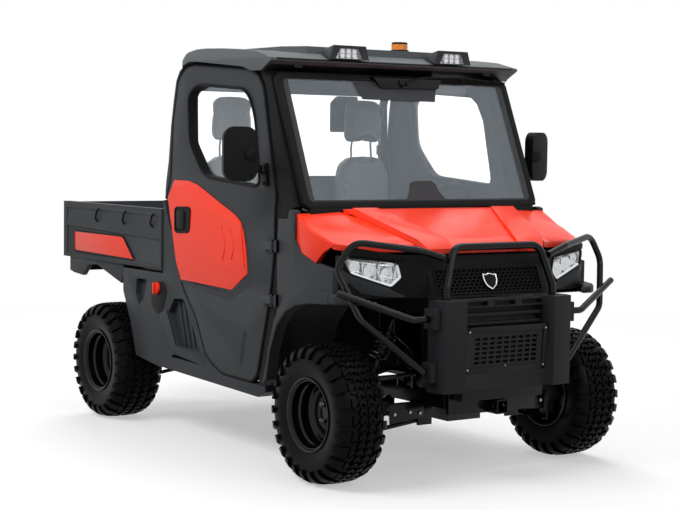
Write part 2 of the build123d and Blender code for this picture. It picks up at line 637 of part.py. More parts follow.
node("door_glass_right", mirrored(glass))
cover = cab_wall(cover_outline, cover_thickness, cover_thickness, cover_corner)
node("door_cover_left", cover)
node("door_cover_right", mirrored(cover))

mirror_x, mirror_y, mirror_z = half_body + 156.0, behind_front(436), 1441.0
mirror_width, mirror_height, mirror_depth = 156.0, 246.0, 46.0
mirror_splay = math.radians(20)      # outer edge further back than the inner one
housing_plane = Plane(origin=(mirror_x - 8, mirror_y + mirror_depth / 2, mirror_z),
                      x_dir=(math.cos(mirror_splay), math.sin(mirror_splay), 0),
                      z_dir=(math.sin(mirror_splay), -math.cos(mirror_splay), 0))
housing = extrude(housing_plane * RectangleRounded(mirror_width, mirror_height, 52), mirror_depth)
arm_root = (cab_half_belt + 8, behind_front(470), 1352.0)
arm_elbow = (mirror_x - 60, behind_front(490), 1382.0)
arm_end = (mirror_x - 20, mirror_y + 10, mirror_z - 10)
bracket = cab_wall(fore([(452, 1296), (496, 1296), (496, 1400), (468, 1400)]), 14.0, proud=14.0 + seat_gap)
mirror_left = housing + bar(arm_elbow, arm_end, 9.0) + Pos(*arm_elbow) * Sphere(12)
mirror_left = mirror_left + bar(arm_root, arm_elbow, 9.0) + bracket
node("mirror_left", mirror_left)
node("mirror_right", mirrored(mirror_left))

# ---- Hood, fenders and front ----------------------------------------------------------------------------

hood_points = [(hood_rear_y, hood_rear_z), (131, 1194), (-206, 1066), (hood_front_y, 1036)]
hood_profile = hood_points + [(y, z - hood_sheet) for y, z in reversed(hood_points)]
hood_plan = [(-hood_half_rear, behind_front(hood_rear_y)), (hood_half_rear, behind_front(hood_rear_y)),
             (hood_half_front, behind_front(-206)), (hood_half_front - 34, behind_front(hood_front_y)),
             (-hood_half_front + 34, behind_front(hood_front_y)), (-hood_half_front, behind_front(-206))]
hood = prism_x(fore(hood_profile), -hood_half_rear, hood_half_rear) & prism_z(hood_plan, 900, 1300)
ridge_height = 16.0
ridge_top = [(hood_points[1][0], hood_points[1][1] + ridge_height - 4), (-206, hood_points[2][1] + ridge_height),
             (hood_front_y, hood_points[3][1] + 2)]
ridge_profile = ridge_top + [(y, z - 6) for y, z in hood_points[3:0:-1]]
ridge_plan = [(335, behind_front(131)), (hood_half_rear - 18, behind_front(131)),
              (hood_half_front - 3, behind_front(-206)), (hood_half_front - 37, behind_front(hood_front_y)),
              (190, behind_front(hood_front_y)), (200, behind_front(-195))]
ridge = prism_x(fore(ridge_profile), 0, hood_half_rear) & prism_z(ridge_plan, 900, 1300)
hood += ridge + mirrored(ridge)
for low, high in hinge_places:
    hood += rod_along_x(low, high, hood_hinge_y, hood_hinge_z, hinge_barrel_radius)
    hood -= rod_along_x(low - 1, high + 1, hood_hinge_y, hood_hinge_z, hinge_pin_radius + running_clearance)
node("hood", hood)

fender_sheet = 26.0


def hood_height(y):
    """The hood's height at its edge, at a distance behind the front axle."""
    share = (131 - y) / (131 + 206)
    return 1194 - 128 * min(max(share, 0.0), 1.0)


# (behind the front axle, x of the outer edge, height of the outer edge)
fender_stations = [(205, half_body - 4, 1178), (95, half_body - 2, 1116), (-65, half_body - 25, 1060),
                   (-112, half_body - 85, 1052), (-160, 455, 1050), (-206, hood_half_front + 20, 1046)]
fender_sections = []
for y, outer_x, outer_z in fender_stations:
    inner_x, inner_z = hood_half_front, hood_height(y)
    fender_sections.append([(x, behind_front(y), z) for x, z in (
        (inner_x, inner_z), (outer_x, outer_z), (outer_x, outer_z - fender_sheet), (inner_x, inner_z - fender_sheet))])
fender_plan = [(hood_half_rear + panel_gap, behind_front(cowl_front) - seat_gap),
               (side_inner_x + 1, behind_front(cowl_front) - seat_gap), (side_inner_x + 1, behind_front(205)),
               (half_body - 4, behind_front(205)), (half_body + 4, behind_front(150)),
               (half_body + 2, behind_front(41)), (half_body - 23, behind_front(-65)),
               (half_body - 85, behind_front(-112)),
               (455, behind_front(-160)), (hood_half_front + panel_gap + 2, behind_front(-206))]
fender_area = prism_z(fender_plan, 900, 1300)
skirt = prism_x(fore([(205, 1176), (203, 1063), (150, 1008), (41, 971), (0, 1017), (-65, 1056), (95, 1113)]),
                cowl_inner_x, half_body + 5)
fender = (ruled(fender_sections) + skirt) & fender_area
node("red_fenders", *pair(fender))

cowl_outline = fore([(228, 1196), (250, 1196), (270, 1153)] + cowl_rear_edge + [(443, 374), (394, 411), (363, 553),
                     (306, 673), (240, 738), (159, 774), (55, 792), (-102, 800), (-102, 950), (-2, 966),
                     (41, 970.2), (150.6, 1007.3), (204, 1062.4), (206, 1190)])
cowl = prism_x(cowl_outline, cowl_inner_x, cowl_outer_x)
flare_proud = 24.0
flare_outline = fore([(443, 374), (394, 411), (363, 553), (306, 673), (240, 738), (159, 774), (55, 792), (-102, 800),
                      (-102, 846), (118, 855), (184, 848), (234, 822), (284, 766), (335, 690), (376, 570), (412, 440)])
cowl += prism_x(flare_outline, cowl_outer_x - 1, cowl_outer_x + flare_proud)
liner_arch = [(443, 374), (394, 411), (363, 553), (306, 673), (240, 738), (159, 774), (55, 792), (-102, 800)]
liner_out = [(-102, 806), (56, 798), (161, 780), (243, 744), (311, 677), (369, 555), (400, 413), (449, 374)]
liner_inner_x = 415.0
node("wheel_liners", *pair(prism_x(fore(liner_arch + liner_out), liner_inner_x, cowl_inner_x - seat_gap)))
node("front_cowls", *pair(cowl))

# Fascia: slanted centre with the grille opening, and a wing each side that wraps to the cowls
centre_half = 332.0
bumper_top = 824.0
fascia_low = bumper_top + seat_gap
centre_section = fore([(-246, 1008), (-240, 957), (-296, fascia_low), (-190, fascia_low), (-190, 1008)])
centre = prism_x(centre_section, -centre_half, centre_half)
grille_half, grille_low, grille_high = 300.0, 838.0, 950.0
grille_depth = 14.0
centre -= block(-grille_half, grille_half, behind_front(-400), behind_front(-100), grille_low, grille_high)
wing_end_x = cowl_inner_x - seat_gap
wing_front = [(centre_half, behind_front(-246)), (452, behind_front(-188)), (cowl_inner_x - 35, behind_front(-132)),
              (wing_end_x, behind_front(-112))]
wing_plan = wing_front + [(wing_end_x, behind_front(-70)), (cowl_inner_x - 49, behind_front(-90)),
                          (440, behind_front(-140)), (centre_half, behind_front(-192))]
lamp_shape = [(448, 981), (430, 913), (477, 868), (cowl_inner_x - 34, 931), (cowl_inner_x - 10, 981),
              (cowl_inner_x - 14, 1006)]


def lamp_prism(clearance):
    """The headlamp's front-view shape, drawn in all round by a clearance."""
    face = Plane.XZ * offset(Polygon(*lamp_shape, align=None), -clearance, kind=Kind.INTERSECTION)
    return Pos(0, behind_front(0), 0) * extrude(face, 400, dir=(0, -1, 0))


wing = prism_z(wing_plan, fascia_low, 1010) - lamp_prism(0)
fascia = centre + wing + mirrored(wing)
node("front_fascia", fascia)

lamp_area = [(x, y - 8) for x, y in wing_front] + [(cowl_inner_x + 1, behind_front(-80)), (centre_half, behind_front(-200))]
headlamp = lamp_prism(seat_gap) & prism_z(lamp_area, 800, 1008)
node("headlamps", *pair(headlamp))

slant_low, slant_high = grille_low + seat_gap, grille_high - seat_gap
slant = [(-243, slant_high), (-291, slant_low), (-291 + grille_depth, slant_low), (-243 + grille_depth, slant_high)]
upper_grille = prism_x(fore(slant), -grille_half + seat_gap, grille_half - seat_gap)
mesh_pitch_x, mesh_pitch_z, mesh_hole = 42.0, 27.0, 17.0
holes = []
for row, z in enumerate((855.0, 882.0, 909.0, 936.0)):
    shift = mesh_pitch_x / 2 * (row % 2)
    for step in range(-6, 7 - row % 2):
        hole = Pos(step * mesh_pitch_x + shift, z) * RegularPolygon(mesh_hole, 6)
        holes.append(extrude(Plane.XZ.offset(-behind_front(-200)) * hole, 120, dir=(0, -1, 0)))
upper_grille = upper_grille.cut(*holes)

# Bumper: two chamfered uprights, a slotted top bar, louvres and a lower lip on one back plate
upright_plan = [(225, -381), (251, -430), (358, -418), (372, -384), (372, -311), (225, -311)]
upright = prism_z([(x, behind_front(y)) for x, y in upright_plan], 423, bumper_top)
bar_front, bumper_back = behind_front(-381), nose_y - seat_gap
top_bar = block(-230, 230, bar_front, bumper_back, 786, 822)
for x in (-158, 0, 158):
    top_bar -= block(x - 60, x + 60, bar_front - 1, bar_front + 30, 793, 813)
back_plate = block(-300, 300, behind_front(-330), bumper_back, 423, 800)
lip = block(-230, 230, behind_front(-390), bumper_back, 423, 506)
skirt_low = block(-230, 230, behind_front(-380), bumper_back, 376, 424)
louvres = [block(-230, 230, behind_front(-362), bumper_back, z, z + 14) for z in (706, 746)]
sockets = [block(371, 400, behind_front(-395), behind_front(-318), 702, 790),
           block(371, 401.5, behind_front(-372), behind_front(-312), 470, 556)]
upright = upright + sockets[0] + sockets[1]
bumper = back_plate + upright + mirrored(upright) + top_bar + lip + skirt_low + louvres[0] + louvres[1]
node("bumper", bumper)
lower_slant = [(-402, 690), (-388, 510), (-376, 510), (-390, 690)]
lower_grille = prism_x(fore(lower_slant), -225 + seat_gap, 225 - seat_gap)
slots = []
for z in (544, 565, 586, 607, 628, 649):
    for x in (-164, -123, -82, -41, 0, 41, 82, 123, 164):
        slots.append(block(x - 14, x + 14, behind_front(-410), behind_front(-370), z - 6, z + 6))
lower_grille = lower_grille.cut(*slots)
node("grilles", upper_grille, lower_grille)

# Brush guard: hoop over the grille, a loop round each headlamp, and a low tube each side
hoop_seat = bumper_top + seat_gap
hoop_points = [(306, behind_front(-348), hoop_seat), (306, behind_front(-348), 866), (246, behind_front(-318), 1050),
               (-246, behind_front(-318), 1050), (-306, behind_front(-348), 866), (-306, behind_front(-348), hoop_seat)]
hoop = bent_tube(hoop_points, [60, 62, 62, 60], guard_tube_radius)
loop_points = [(300, behind_front(-322), 1004), (420, behind_front(-300), 1040),
               (half_body - 41, behind_front(-185), 1075), (half_body + 38, behind_front(-174), 960),
               (half_body - 35, behind_front(-254), 745), (412, behind_front(-340), 516)]
loop = bent_tube(loop_points, [60, 80, 60, 90], guard_loop_radius)
side_points = [(400 + seat_gap, behind_front(-352), 745), (480, behind_front(-352), 745),
               (half_body + 65, behind_front(-222), 862)]
side_tube = bent_tube(side_points, [60], guard_loop_radius)
node("brush_guard", hoop, *pair(loop), *pair(side_tube))

# ---- Side panels, cargo bed and lift ----------------------------------------------------------------------

side_outline = fore([(450, 368), (450, 345), (512, 315), (1503, 344)]) + [
    (rear_axle_y - 330, 372), (rear_axle_y - 262, 549), (rear_axle_y - 178, 700), (rear_axle_y - 178, 822)] + fore(
    [(1442, 822), (1442, 1196), (1434, 1196), (1396, 1106), (1347, 1028), (1320, 950), (1266, 804), (1224, 746),
     (1112, 632), (1013, 458), (948, 414), (844, 377), (602, 371)])
side_outer_x = half_body
side_panel = prism_x(side_outline, side_inner_x, side_outer_x)
step_pocket = fore([(1046, 462), (1277, 466), (1381, 631), (1326, 704), (1228, 710)])
side_panel -= prism_x(step_pocket, side_outer_x - 34, side_outer_x + 10, 8)
for y in (1104, 1150, 1196, 1242):
    rib = fore([(y, 474), (y + 16, 474), (y + 88, 690), (y + 72, 690)])
    side_panel += prism_x(rib, side_outer_x - 35, side_outer_x - 24)
step_slot = fore([(1353, 404), (1332, 420), (1050, 426), (1080, 400)])
side_panel -= prism_x(step_slot, side_outer_x - 60, side_outer_x + 10)
scoop = [(rear_axle_y - 452, 780), (rear_axle_y - 331, 776), (rear_axle_y - 324, 700), (rear_axle_y - 359, 636),
         (rear_axle_y - 414, 680)]
side_panel -= prism_x(scoop, side_outer_x - 30, side_outer_x + 10, 14)
node("side_panels", *pair(side_panel))

cap_y, cap_z, cap_radius = behind_front(1507), 742.0, 46.0
cap = rod_along_x(-side_outer_x - 30, -side_outer_x - seat_gap, cap_y, cap_z, cap_radius)
node("fuel_cap", cap)

bed_front_y = cab_rear_y + bed_to_cab_gap
tailgate_front_y = rear_y - tailgate_thickness
bed = block(-bed_half_width, bed_half_width, bed_front_y, rear_y, bed_floor_z, bed_top_z)
bed -= block(-bed_half_width + bed_wall, bed_half_width - bed_wall, bed_front_y + bed_wall, rear_y + 1,
             bed_floor_z + bed_floor_thickness, bed_top_z + 1)
bed_rail_depth, bed_rail_width, bed_trim = 36.0, 38.0, 5.0
for sign in (-1, 1):
    inner_x, outer_x = sorted((sign * (bed_half_width - bed_rail_width), sign * (bed_half_width + bed_trim)))
    bed += block(inner_x, outer_x, bed_front_y, rear_y, bed_top_z - bed_rail_depth, bed_top_z)
    wall_x, outer_x = sorted((sign * (bed_half_width - bed_wall + 1), sign * (bed_half_width + bed_trim)))
    bed += block(wall_x, outer_x, rear_y - 46, rear_y, bed_floor_z, bed_top_z)
    bed += block(wall_x, outer_x, bed_front_y, bed_front_y + 26, bed_floor_z, bed_top_z)
    bed += block(wall_x, outer_x, bed_front_y, rear_y, bed_floor_z, bed_floor_z + 24)
tailgate_room = 12.0
bed -= block(-bed_half_width + bed_wall, bed_half_width - bed_wall, tailgate_front_y - tailgate_room, rear_y + 1,
             bed_floor_z - 1, bed_floor_z + bed_floor_thickness + 1)
for x in (upper_rail_x, -upper_rail_x):
    bed += block(x - 25, x + 25, bed_front_y + 60, upper_rear - 60, upper_rail_z + upper_rail_height + seat_gap,
                 bed_floor_z + 1)
for x in (upper_rail_x, -upper_rail_x):
    barrel = rod_along_x(x - bed_barrel_half, x + bed_barrel_half, bed_hinge_y, bed_hinge_z, bed_barrel_radius)
    barrel += block(x - bed_barrel_half, x + bed_barrel_half, bed_hinge_y - bed_barrel_radius,
                    bed_hinge_y + bed_barrel_radius, bed_hinge_z, bed_floor_z + 1)
    barrel -= rod_along_x(x - bed_barrel_half - 1, x + bed_barrel_half + 1, bed_hinge_y, bed_hinge_z,
                          bed_pin_radius + running_clearance)
    bed += barrel
gate_half = bed_half_width - bed_wall - panel_gap
gate_pin_y, gate_pin_z, gate_pin_radius = rear_y - tailgate_thickness / 2, bed_floor_z + 28, 8.0
for x in (gate_half - 24, -gate_half + 24 - 60):
    bed += rod_along_x(x, x + 60, gate_pin_y, gate_pin_z, gate_pin_radius)
node("bed_tray", bed)

badge_outline = [(bed_front_y + 300, bed_floor_z + 31), (bed_front_y + 430, bed_floor_z + 148),
                 (rear_y - 140, bed_floor_z + 148), (rear_y - 140, bed_floor_z + 38)]
badge = prism_x(badge_outline, bed_half_width + seat_gap, bed_half_width + 6)
node("bed_badges", *pair(badge))

tailgate = block(-gate_half, gate_half, tailgate_front_y, rear_y - 1, bed_floor_z + 12, bed_top_z - 4)
for x in (gate_half - 26, -gate_half - 10):
    tailgate -= rod_along_x(x, x + 36, gate_pin_y, gate_pin_z, gate_pin_radius + running_clearance)
node("tailgate", tailgate)

guard_rear = rear_y - 60
guard_top = bed_floor_z - seat_gap
# (behind the rear axle, drop below the bed's floor)
mudguard_under = [(434, 88), (321, 96), (247, 32), (155, 22), (-94, 90), (-150, 104), (-170, 60)]
mudguard_outline = [(behind_rear(-170), guard_top), (guard_rear, guard_top), (guard_rear, bed_floor_z - 78)]
mudguard_outline += [(behind_rear(y), bed_floor_z - drop) for y, drop in mudguard_under]
guard_inner_x, guard_outer_x, guard_wall = bed_half_width - 228, bed_half_width - 6, 26.0
mudguard = prism_x(mudguard_outline, guard_inner_x, guard_outer_x)
guard_hollow_x = (guard_inner_x - 1, guard_outer_x - guard_wall)
mudguard_hollow = prism_x([(y, z - guard_wall) for y, z in mudguard_outline], *guard_hollow_x)
mudguard -= mudguard_hollow & block(*guard_hollow_x, bed_front_y, guard_rear - 20, 600, bed_floor_z)
node("mudguards", *pair(mudguard))

lift_x = 152.0
lift_foot_y, lift_foot_z = behind_rear(150.0), 432.0
lift_head_y, lift_head_z = behind_rear(-80.0), bed_floor_z - 34
barrel_radius, barrel_bore, lift_rod_radius = 27.0, 17.05, 17.0
lift_length = math.hypot(lift_head_y - lift_foot_y, lift_head_z - lift_foot_z)


def along_lift(distance):
    share = distance / lift_length
    return (lift_x, lift_foot_y + share * (lift_head_y - lift_foot_y),
            lift_foot_z + share * (lift_head_z - lift_foot_z))


barrel_end = 372.0
barrel = bar(along_lift(0), along_lift(barrel_end), barrel_radius)
barrel += rod_along_x(lift_x - 20, lift_x + 20, lift_foot_y, lift_foot_z, barrel_radius + 3)
barrel -= bar(along_lift(36), along_lift(barrel_end + 1), barrel_bore)
barrel -= rod_along_x(lift_x - 40, lift_x + 40, lift_foot_y, lift_foot_z, 12 + running_clearance)
node("lift_barrel", barrel)
lift_rod = bar(along_lift(40), along_lift(lift_length), lift_rod_radius)
lift_rod += rod_along_x(lift_x - 14, lift_x + 14, lift_head_y, lift_head_z, 24.0)
lift_rod -= rod_along_x(lift_x - 15, lift_x + 15, lift_head_y, lift_head_z, 12.0)
node("lift_rod", lift_rod)
foot_pin = rod_along_x(lift_x - 42, lift_x + 42, lift_foot_y, lift_foot_z, 12.0)
foot_plates = [block(x, x + 10, lift_foot_y - 20, lift_foot_y + 50, rail_top_z + seat_gap, lift_foot_z + 24)
               for x in (lift_x - 42, lift_x + 32)]
node("frame_brackets", *frame_brackets, foot_pin + foot_plates[0] + foot_plates[1])

lamp_low, lamp_high = bed_floor_z - 70, bed_floor_z - 14
tail_lamp = block(bed_half_width - 168, bed_half_width - 38, guard_rear + seat_gap, guard_rear + 24,
                  lamp_low, lamp_high)
node("tail_lamps", *pair(tail_lamp))

# ---- Write one file for each node -------------------------------------------------------------------------

os.makedirs("parts", exist_ok=True)
for name, solids in nodes.items():
    export_step(Compound(solids), f"parts/{name}.step")
    print(name, len(solids))
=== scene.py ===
# %% [markdown]
# # A side-by-side utility vehicle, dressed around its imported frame
#
# The frame holds the vehicle's real sizes, its bodies and its joints. This script gives each panel,
# tube and tyre its surface, and adds the pieces that are too fine or too soft for the frame: tread,
# lamps, mesh, seals, bolts, springs and upholstery. Everything is in metres. +X is the vehicle's left,
# the front faces -Y, +Z is up, and the origin is on the ground under the vehicle's middle.

# %% Load the frame
import math

import bpy
from mathutils import Matrix, Vector
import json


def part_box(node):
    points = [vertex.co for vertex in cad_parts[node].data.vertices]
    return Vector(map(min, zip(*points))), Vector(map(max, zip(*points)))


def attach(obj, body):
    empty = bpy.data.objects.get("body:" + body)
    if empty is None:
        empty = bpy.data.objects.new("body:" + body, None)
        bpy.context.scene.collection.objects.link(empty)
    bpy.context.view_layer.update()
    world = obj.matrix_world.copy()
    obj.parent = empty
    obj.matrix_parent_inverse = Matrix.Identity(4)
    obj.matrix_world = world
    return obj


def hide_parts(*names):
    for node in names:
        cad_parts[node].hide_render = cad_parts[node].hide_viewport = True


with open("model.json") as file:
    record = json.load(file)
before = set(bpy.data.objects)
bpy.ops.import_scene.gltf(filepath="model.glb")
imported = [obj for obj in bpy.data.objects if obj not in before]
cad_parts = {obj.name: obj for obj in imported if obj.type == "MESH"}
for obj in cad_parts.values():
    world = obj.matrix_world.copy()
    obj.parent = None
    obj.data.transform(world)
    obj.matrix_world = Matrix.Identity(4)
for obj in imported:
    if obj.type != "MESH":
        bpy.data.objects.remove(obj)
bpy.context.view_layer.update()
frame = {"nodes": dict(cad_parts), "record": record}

# %% [markdown]
# ## Camera
#
# A long lens from the vehicle's front right, a little below the roof. A camera could be aimed with a
# Track To constraint, but a rotation built from its yaw, pitch and roll is exact and stays put when
# other objects change.

# %% Set the camera
camera_place = Vector((-4.68873, -6.99893, 1.49201))
camera_yaw, camera_pitch, camera_roll = 0.59999, 0.06928, 0.013973   # radians
camera_lens = 86.71          # millimetres, on a sensor 36 mm wide
camera_shift = (0.0055, 0.0037)

forwards = Vector((math.sin(camera_yaw) * math.cos(camera_pitch),
                   math.cos(camera_yaw) * math.cos(camera_pitch), -math.sin(camera_pitch)))
right = Vector((math.cos(camera_yaw), -math.sin(camera_yaw), 0.0))
upwards = right.cross(forwards)
rolled_right = right * math.cos(camera_roll) + upwards * math.sin(camera_roll)
rolled_up = upwards * math.cos(camera_roll) - right * math.sin(camera_roll)

camera_data = bpy.data.cameras.new("camera")
camera_data.lens = camera_lens
camera_data.sensor_width = 36.0
camera_data.shift_x, camera_data.shift_y = camera_shift
camera = bpy.data.objects.new("camera", camera_data)
bpy.context.scene.collection.objects.link(camera)
turn = Matrix((rolled_right, rolled_up, -forwards)).transposed()
camera.matrix_world = Matrix.Translation(camera_place) @ turn.to_4x4()
bpy.context.scene.camera = camera
bpy.context.scene.view_settings.view_transform = "Standard"
print("camera at", tuple(camera_place))

# %% [markdown]
# ## Materials
#
# Each finish starts from what the real one is made of. A helper turns a written sRGB colour into the
# linear light that shaders use, and another adds one node with its settings and links. Patterns read
# Object coordinates: every mesh holds its place in its vertices, so these are metres on the vehicle,
# and a grain that is 1.5 mm on the real panel is 1.5 mm here.

# %% Colour and node helpers
def linear(hex_colour, alpha=1.0):
    """An sRGB colour such as "#D8301C" as the linear RGBA that a shader takes."""
    channels = [int(hex_colour[place:place + 2], 16) / 255 for place in (1, 3, 5)]
    return (*[c / 12.92 if c <= 0.04045 else ((c + 0.055) / 1.055) ** 2.4 for c in channels], alpha)


def add_node(owner, kind, inputs=None, **settings):
    """Adds a node to a material or world; an input given as a socket is linked, any other is set."""
    made = owner.node_tree.nodes.new(kind)
    for name, value in settings.items():
        setattr(made, name, value)
    for name, value in (inputs or {}).items():
        if isinstance(value, bpy.types.NodeSocket):
            owner.node_tree.links.new(value, made.inputs[name])
        else:
            made.inputs[name].default_value = value
    return made


def blank_material(name):
    """A material with nothing in it but an output."""
    material = bpy.data.materials.new(name)
    material.use_nodes = True
    material.node_tree.nodes.clear()
    return material


def per_metre(millimetres):
    """A texture's scale for features of this size."""
    return 1000.0 / millimetres


def finished(material, shader):
    """Links a shader to the material's output."""
    add_node(material, "ShaderNodeOutputMaterial", {"Surface": shader.outputs[0]})
    return material


def object_place(material):
    """The place on the vehicle, in metres, that each pattern reads."""
    return add_node(material, "ShaderNodeTexCoord").outputs["Object"]


def two_tone(material, factor, first, second):
    """A colour that goes from one written colour to another with a factor."""
    blend = add_node(material, "ShaderNodeMix", {"Factor": factor, "A": linear(first), "B": linear(second)},
                     data_type="RGBA")
    return blend.outputs["Result"]


def bumped(material, height, strength, millimetres):
    """A bumped normal from a height, so deep at full strength."""
    bump = add_node(material, "ShaderNodeBump", {"Height": height, "Strength": strength,
                                                 "Distance": millimetres / 1000})
    return bump.outputs["Normal"]


def noise(material, place, millimetres, detail, **inputs):
    """A noise texture with features of this size."""
    return add_node(material, "ShaderNodeTexNoise",
                    {"Vector": place, "Scale": per_metre(millimetres), "Detail": detail, **inputs})


# %% [markdown]
# ### Moulded plastics
#
# The dark panels are polypropylene moulded with a fine leather grain, which spreads each highlight
# into a soft grey sheen. The red ones are the same plastic, through-coloured and polished in the
# mould, so they keep a tighter highlight. One function makes both: noise at the grain's real size
# drives the bump, and a slow noise varies roughness and tint, as handling and light dust do.

# %% Moulded plastic
def moulded_plastic(name, colour, dusty_colour, roughness, grain_mm, grain_depth_mm, coat=0.0,
                    specular=0.5):
    material = blank_material(name)
    place = object_place(material)
    slow = noise(material, place, 180, 3.0)
    grain = noise(material, place, grain_mm, 2.0, Roughness=0.6)
    tint = two_tone(material, slow.outputs["Fac"], colour, dusty_colour)
    shine = add_node(material, "ShaderNodeMapRange", {"Value": slow.outputs["Fac"], "From Min": 0.3,
                                                      "From Max": 0.7, "To Min": roughness - 0.04,
                                                      "To Max": roughness + 0.05})
    normal = bumped(material, grain.outputs["Fac"], 0.6, grain_depth_mm)
    shader = add_node(material, "ShaderNodeBsdfPrincipled",
                      {"Base Color": tint, "Roughness": shine.outputs["Result"], "Normal": normal,
                       "Coat Weight": coat, "Coat Roughness": 0.25, "Specular IOR Level": specular})
    return finished(material, shader)


red_panel = moulded_plastic("polished_red_polypropylene", "#F23318", "#F63C20", 0.40, 2.2, 0.05, coat=0.45,
                            specular=0.06)
grey_panel = moulded_plastic("grained_dark_grey_polypropylene", "#313437", "#37393C", 0.50, 1.6, 0.12,
                             specular=0.12)
roof_grey = moulded_plastic("grained_roof_grey_polyethylene", "#4B4F52", "#525659", 0.55, 1.6, 0.05,
                            specular=0.20)
black_trim = moulded_plastic("grained_black_polypropylene", "#121314", "#18191A", 0.50, 1.2, 0.10,
                             specular=0.08)
visor_black = moulded_plastic("smooth_black_visor_plastic", "#070708", "#0A0A0B", 0.42, 1.2, 0.04,
                              specular=0.22)
bumper_black = moulded_plastic("satin_black_polyurethane", "#1D1E20", "#222325", 0.48, 1.4, 0.10,
                               specular=0.14)
seal_rubber = moulded_plastic("black_door_seal_rubber", "#0A0B0B", "#0E0F0F", 0.70, 0.8, 0.10,
                              specular=0.2)
ceramic_print = moulded_plastic("dark_ceramic_print_on_glass", "#3C3E41", "#424447", 0.55, 0.6, 0.01,
                                specular=0.1)
print("plastics:", red_panel.name, grey_panel.name, roof_grey.name, black_trim.name, bumper_black.name)

# %% [markdown]
# ### Coated and bare metal
#
# Powder coat leaves a faint orange peel about 1 mm across. The wheels are dipped in gloss enamel, so
# their reflections are sharper. The drive line is painted cast iron, rough from its sand mould, and
# the shocks' rods and the lift's rod are ground and chromed: a metal keeps the default IOR.

# %% Coated metal
def coated_metal(name, colour, roughness, peel_mm, peel_depth_mm, metallic=0.0, coat=0.0, specular=0.5):
    material = blank_material(name)
    place = object_place(material)
    peel = noise(material, place, peel_mm, 2.0)
    worn = noise(material, place, 60, 4.0)
    shine = add_node(material, "ShaderNodeMapRange", {"Value": worn.outputs["Fac"], "From Min": 0.35,
                                                      "From Max": 0.7, "To Min": roughness - 0.05,
                                                      "To Max": roughness + 0.08})
    normal = bumped(material, peel.outputs["Fac"], 0.5, peel_depth_mm)
    shader = add_node(material, "ShaderNodeBsdfPrincipled",
                      {"Base Color": linear(colour), "Metallic": metallic,
                       "Roughness": shine.outputs["Result"], "Normal": normal, "Coat Weight": coat,
                       "Coat Roughness": 0.1, "Specular IOR Level": specular})
    return finished(material, shader)


powder_coat = coated_metal("satin_black_powder_coated_steel", "#050506", 0.22, 1.0, 0.02, specular=0.2)
wheel_enamel = coated_metal("gloss_black_enamelled_steel", "#050506", 0.25, 1.6, 0.02, coat=0.2,
                            specular=0.15)
cast_iron = coated_metal("painted_cast_iron", "#1B1C1E", 0.62, 1.2, 0.25)
chrome = coated_metal("hard_chromed_steel", "#C9CBCE", 0.16, 1.0, 0.01, metallic=1.0)
zinc = coated_metal("zinc_plated_steel", "#8F9296", 0.34, 0.8, 0.03, metallic=1.0)
reflector = coated_metal("vacuum_metallised_reflector", "#F2F4F6", 0.14, 3.0, 0.02, metallic=1.0)
print("metals:", powder_coat.name, wheel_enamel.name, cast_iron.name, chrome.name, zinc.name)

# %% [markdown]
# ### Tyre rubber
#
# Carbon-black rubber, moulded: dull, nearly black, with a dusting that lightens it in patches. Fine
# mould texture is too small to see at this distance, so the bump is drawn a little coarser, at 2 mm.

# %% Rubber
def tyre_rubber():
    material = blank_material("carbon_black_tyre_rubber")
    place = object_place(material)
    dust = noise(material, place, 45, 5.0)
    pores = noise(material, place, 2, 3.0)
    shader = add_node(material, "ShaderNodeBsdfPrincipled",
                      {"Base Color": two_tone(material, dust.outputs["Fac"], "#0A0A0B", "#111112"),
                       "Roughness": 0.33, "Specular IOR Level": 0.05,
                       "Normal": bumped(material, pores.outputs["Fac"], 0.5, 0.3)})
    return finished(material, shader)


rubber = tyre_rubber()

# %% [markdown]
# ### Clear parts
#
# Window glass is clear and a few millimetres thick. Real refraction would darken the cab with noisy
# shadows, so a pane is a fully clear sheet with a mirror added to it: weak where it is seen face on,
# strong where it is seen at a slant. Lamp lenses are polycarbonate, which lets light through by alpha
# under a glossy skin, and the beacon's dome is the same plastic, dyed amber.

# %% Clear parts
def clear_sheet(name, colour, alpha, roughness, streak_mm=300):
    material = blank_material(name)
    place = object_place(material)
    streaks = noise(material, place, streak_mm, 3.0)
    film = add_node(material, "ShaderNodeMapRange", {"Value": streaks.outputs["Fac"], "To Min": roughness,
                                                     "To Max": roughness + 0.05})
    shader = add_node(material, "ShaderNodeBsdfPrincipled",
                      {"Base Color": linear(colour), "Roughness": film.outputs["Result"],
                       "Alpha": alpha, "IOR": 1.52})
    return finished(material, shader)


# What the two faces of a pane mirror together, as linear colour, face on and at a slant
glass_face_on, glass_edge_on = (0.062, 0.070, 0.077, 1.0), (0.8, 0.8, 0.8, 1.0)
white_light = (1.0, 1.0, 1.0, 1.0)


def window_pane():
    """Glass as a clear sheet whose two faces mirror the white room, more so at a slant."""
    material = blank_material("clear_laminated_glass")
    streaks = noise(material, object_place(material), 300, 3.0)
    film = add_node(material, "ShaderNodeMapRange",
                    {"Value": streaks.outputs["Fac"], "To Min": 0.0, "To Max": 0.02})
    slant = add_node(material, "ShaderNodeLayerWeight", {"Blend": 0.5})
    steep = add_node(material, "ShaderNodeMath", {0: slant.outputs["Facing"], 1: 5.0}, operation="POWER")
    mirrored = add_node(material, "ShaderNodeMix", {"Factor": steep.outputs["Value"], "A": glass_face_on,
                                                    "B": glass_edge_on}, data_type="RGBA")
    clear = add_node(material, "ShaderNodeBsdfTransparent", {"Color": white_light})
    gloss = add_node(material, "ShaderNodeBsdfGlossy", {"Color": mirrored.outputs["Result"],
                                                        "Roughness": film.outputs["Result"]})
    shader = add_node(material, "ShaderNodeAddShader", {0: clear.outputs["BSDF"], 1: gloss.outputs["BSDF"]})
    return finished(material, shader)


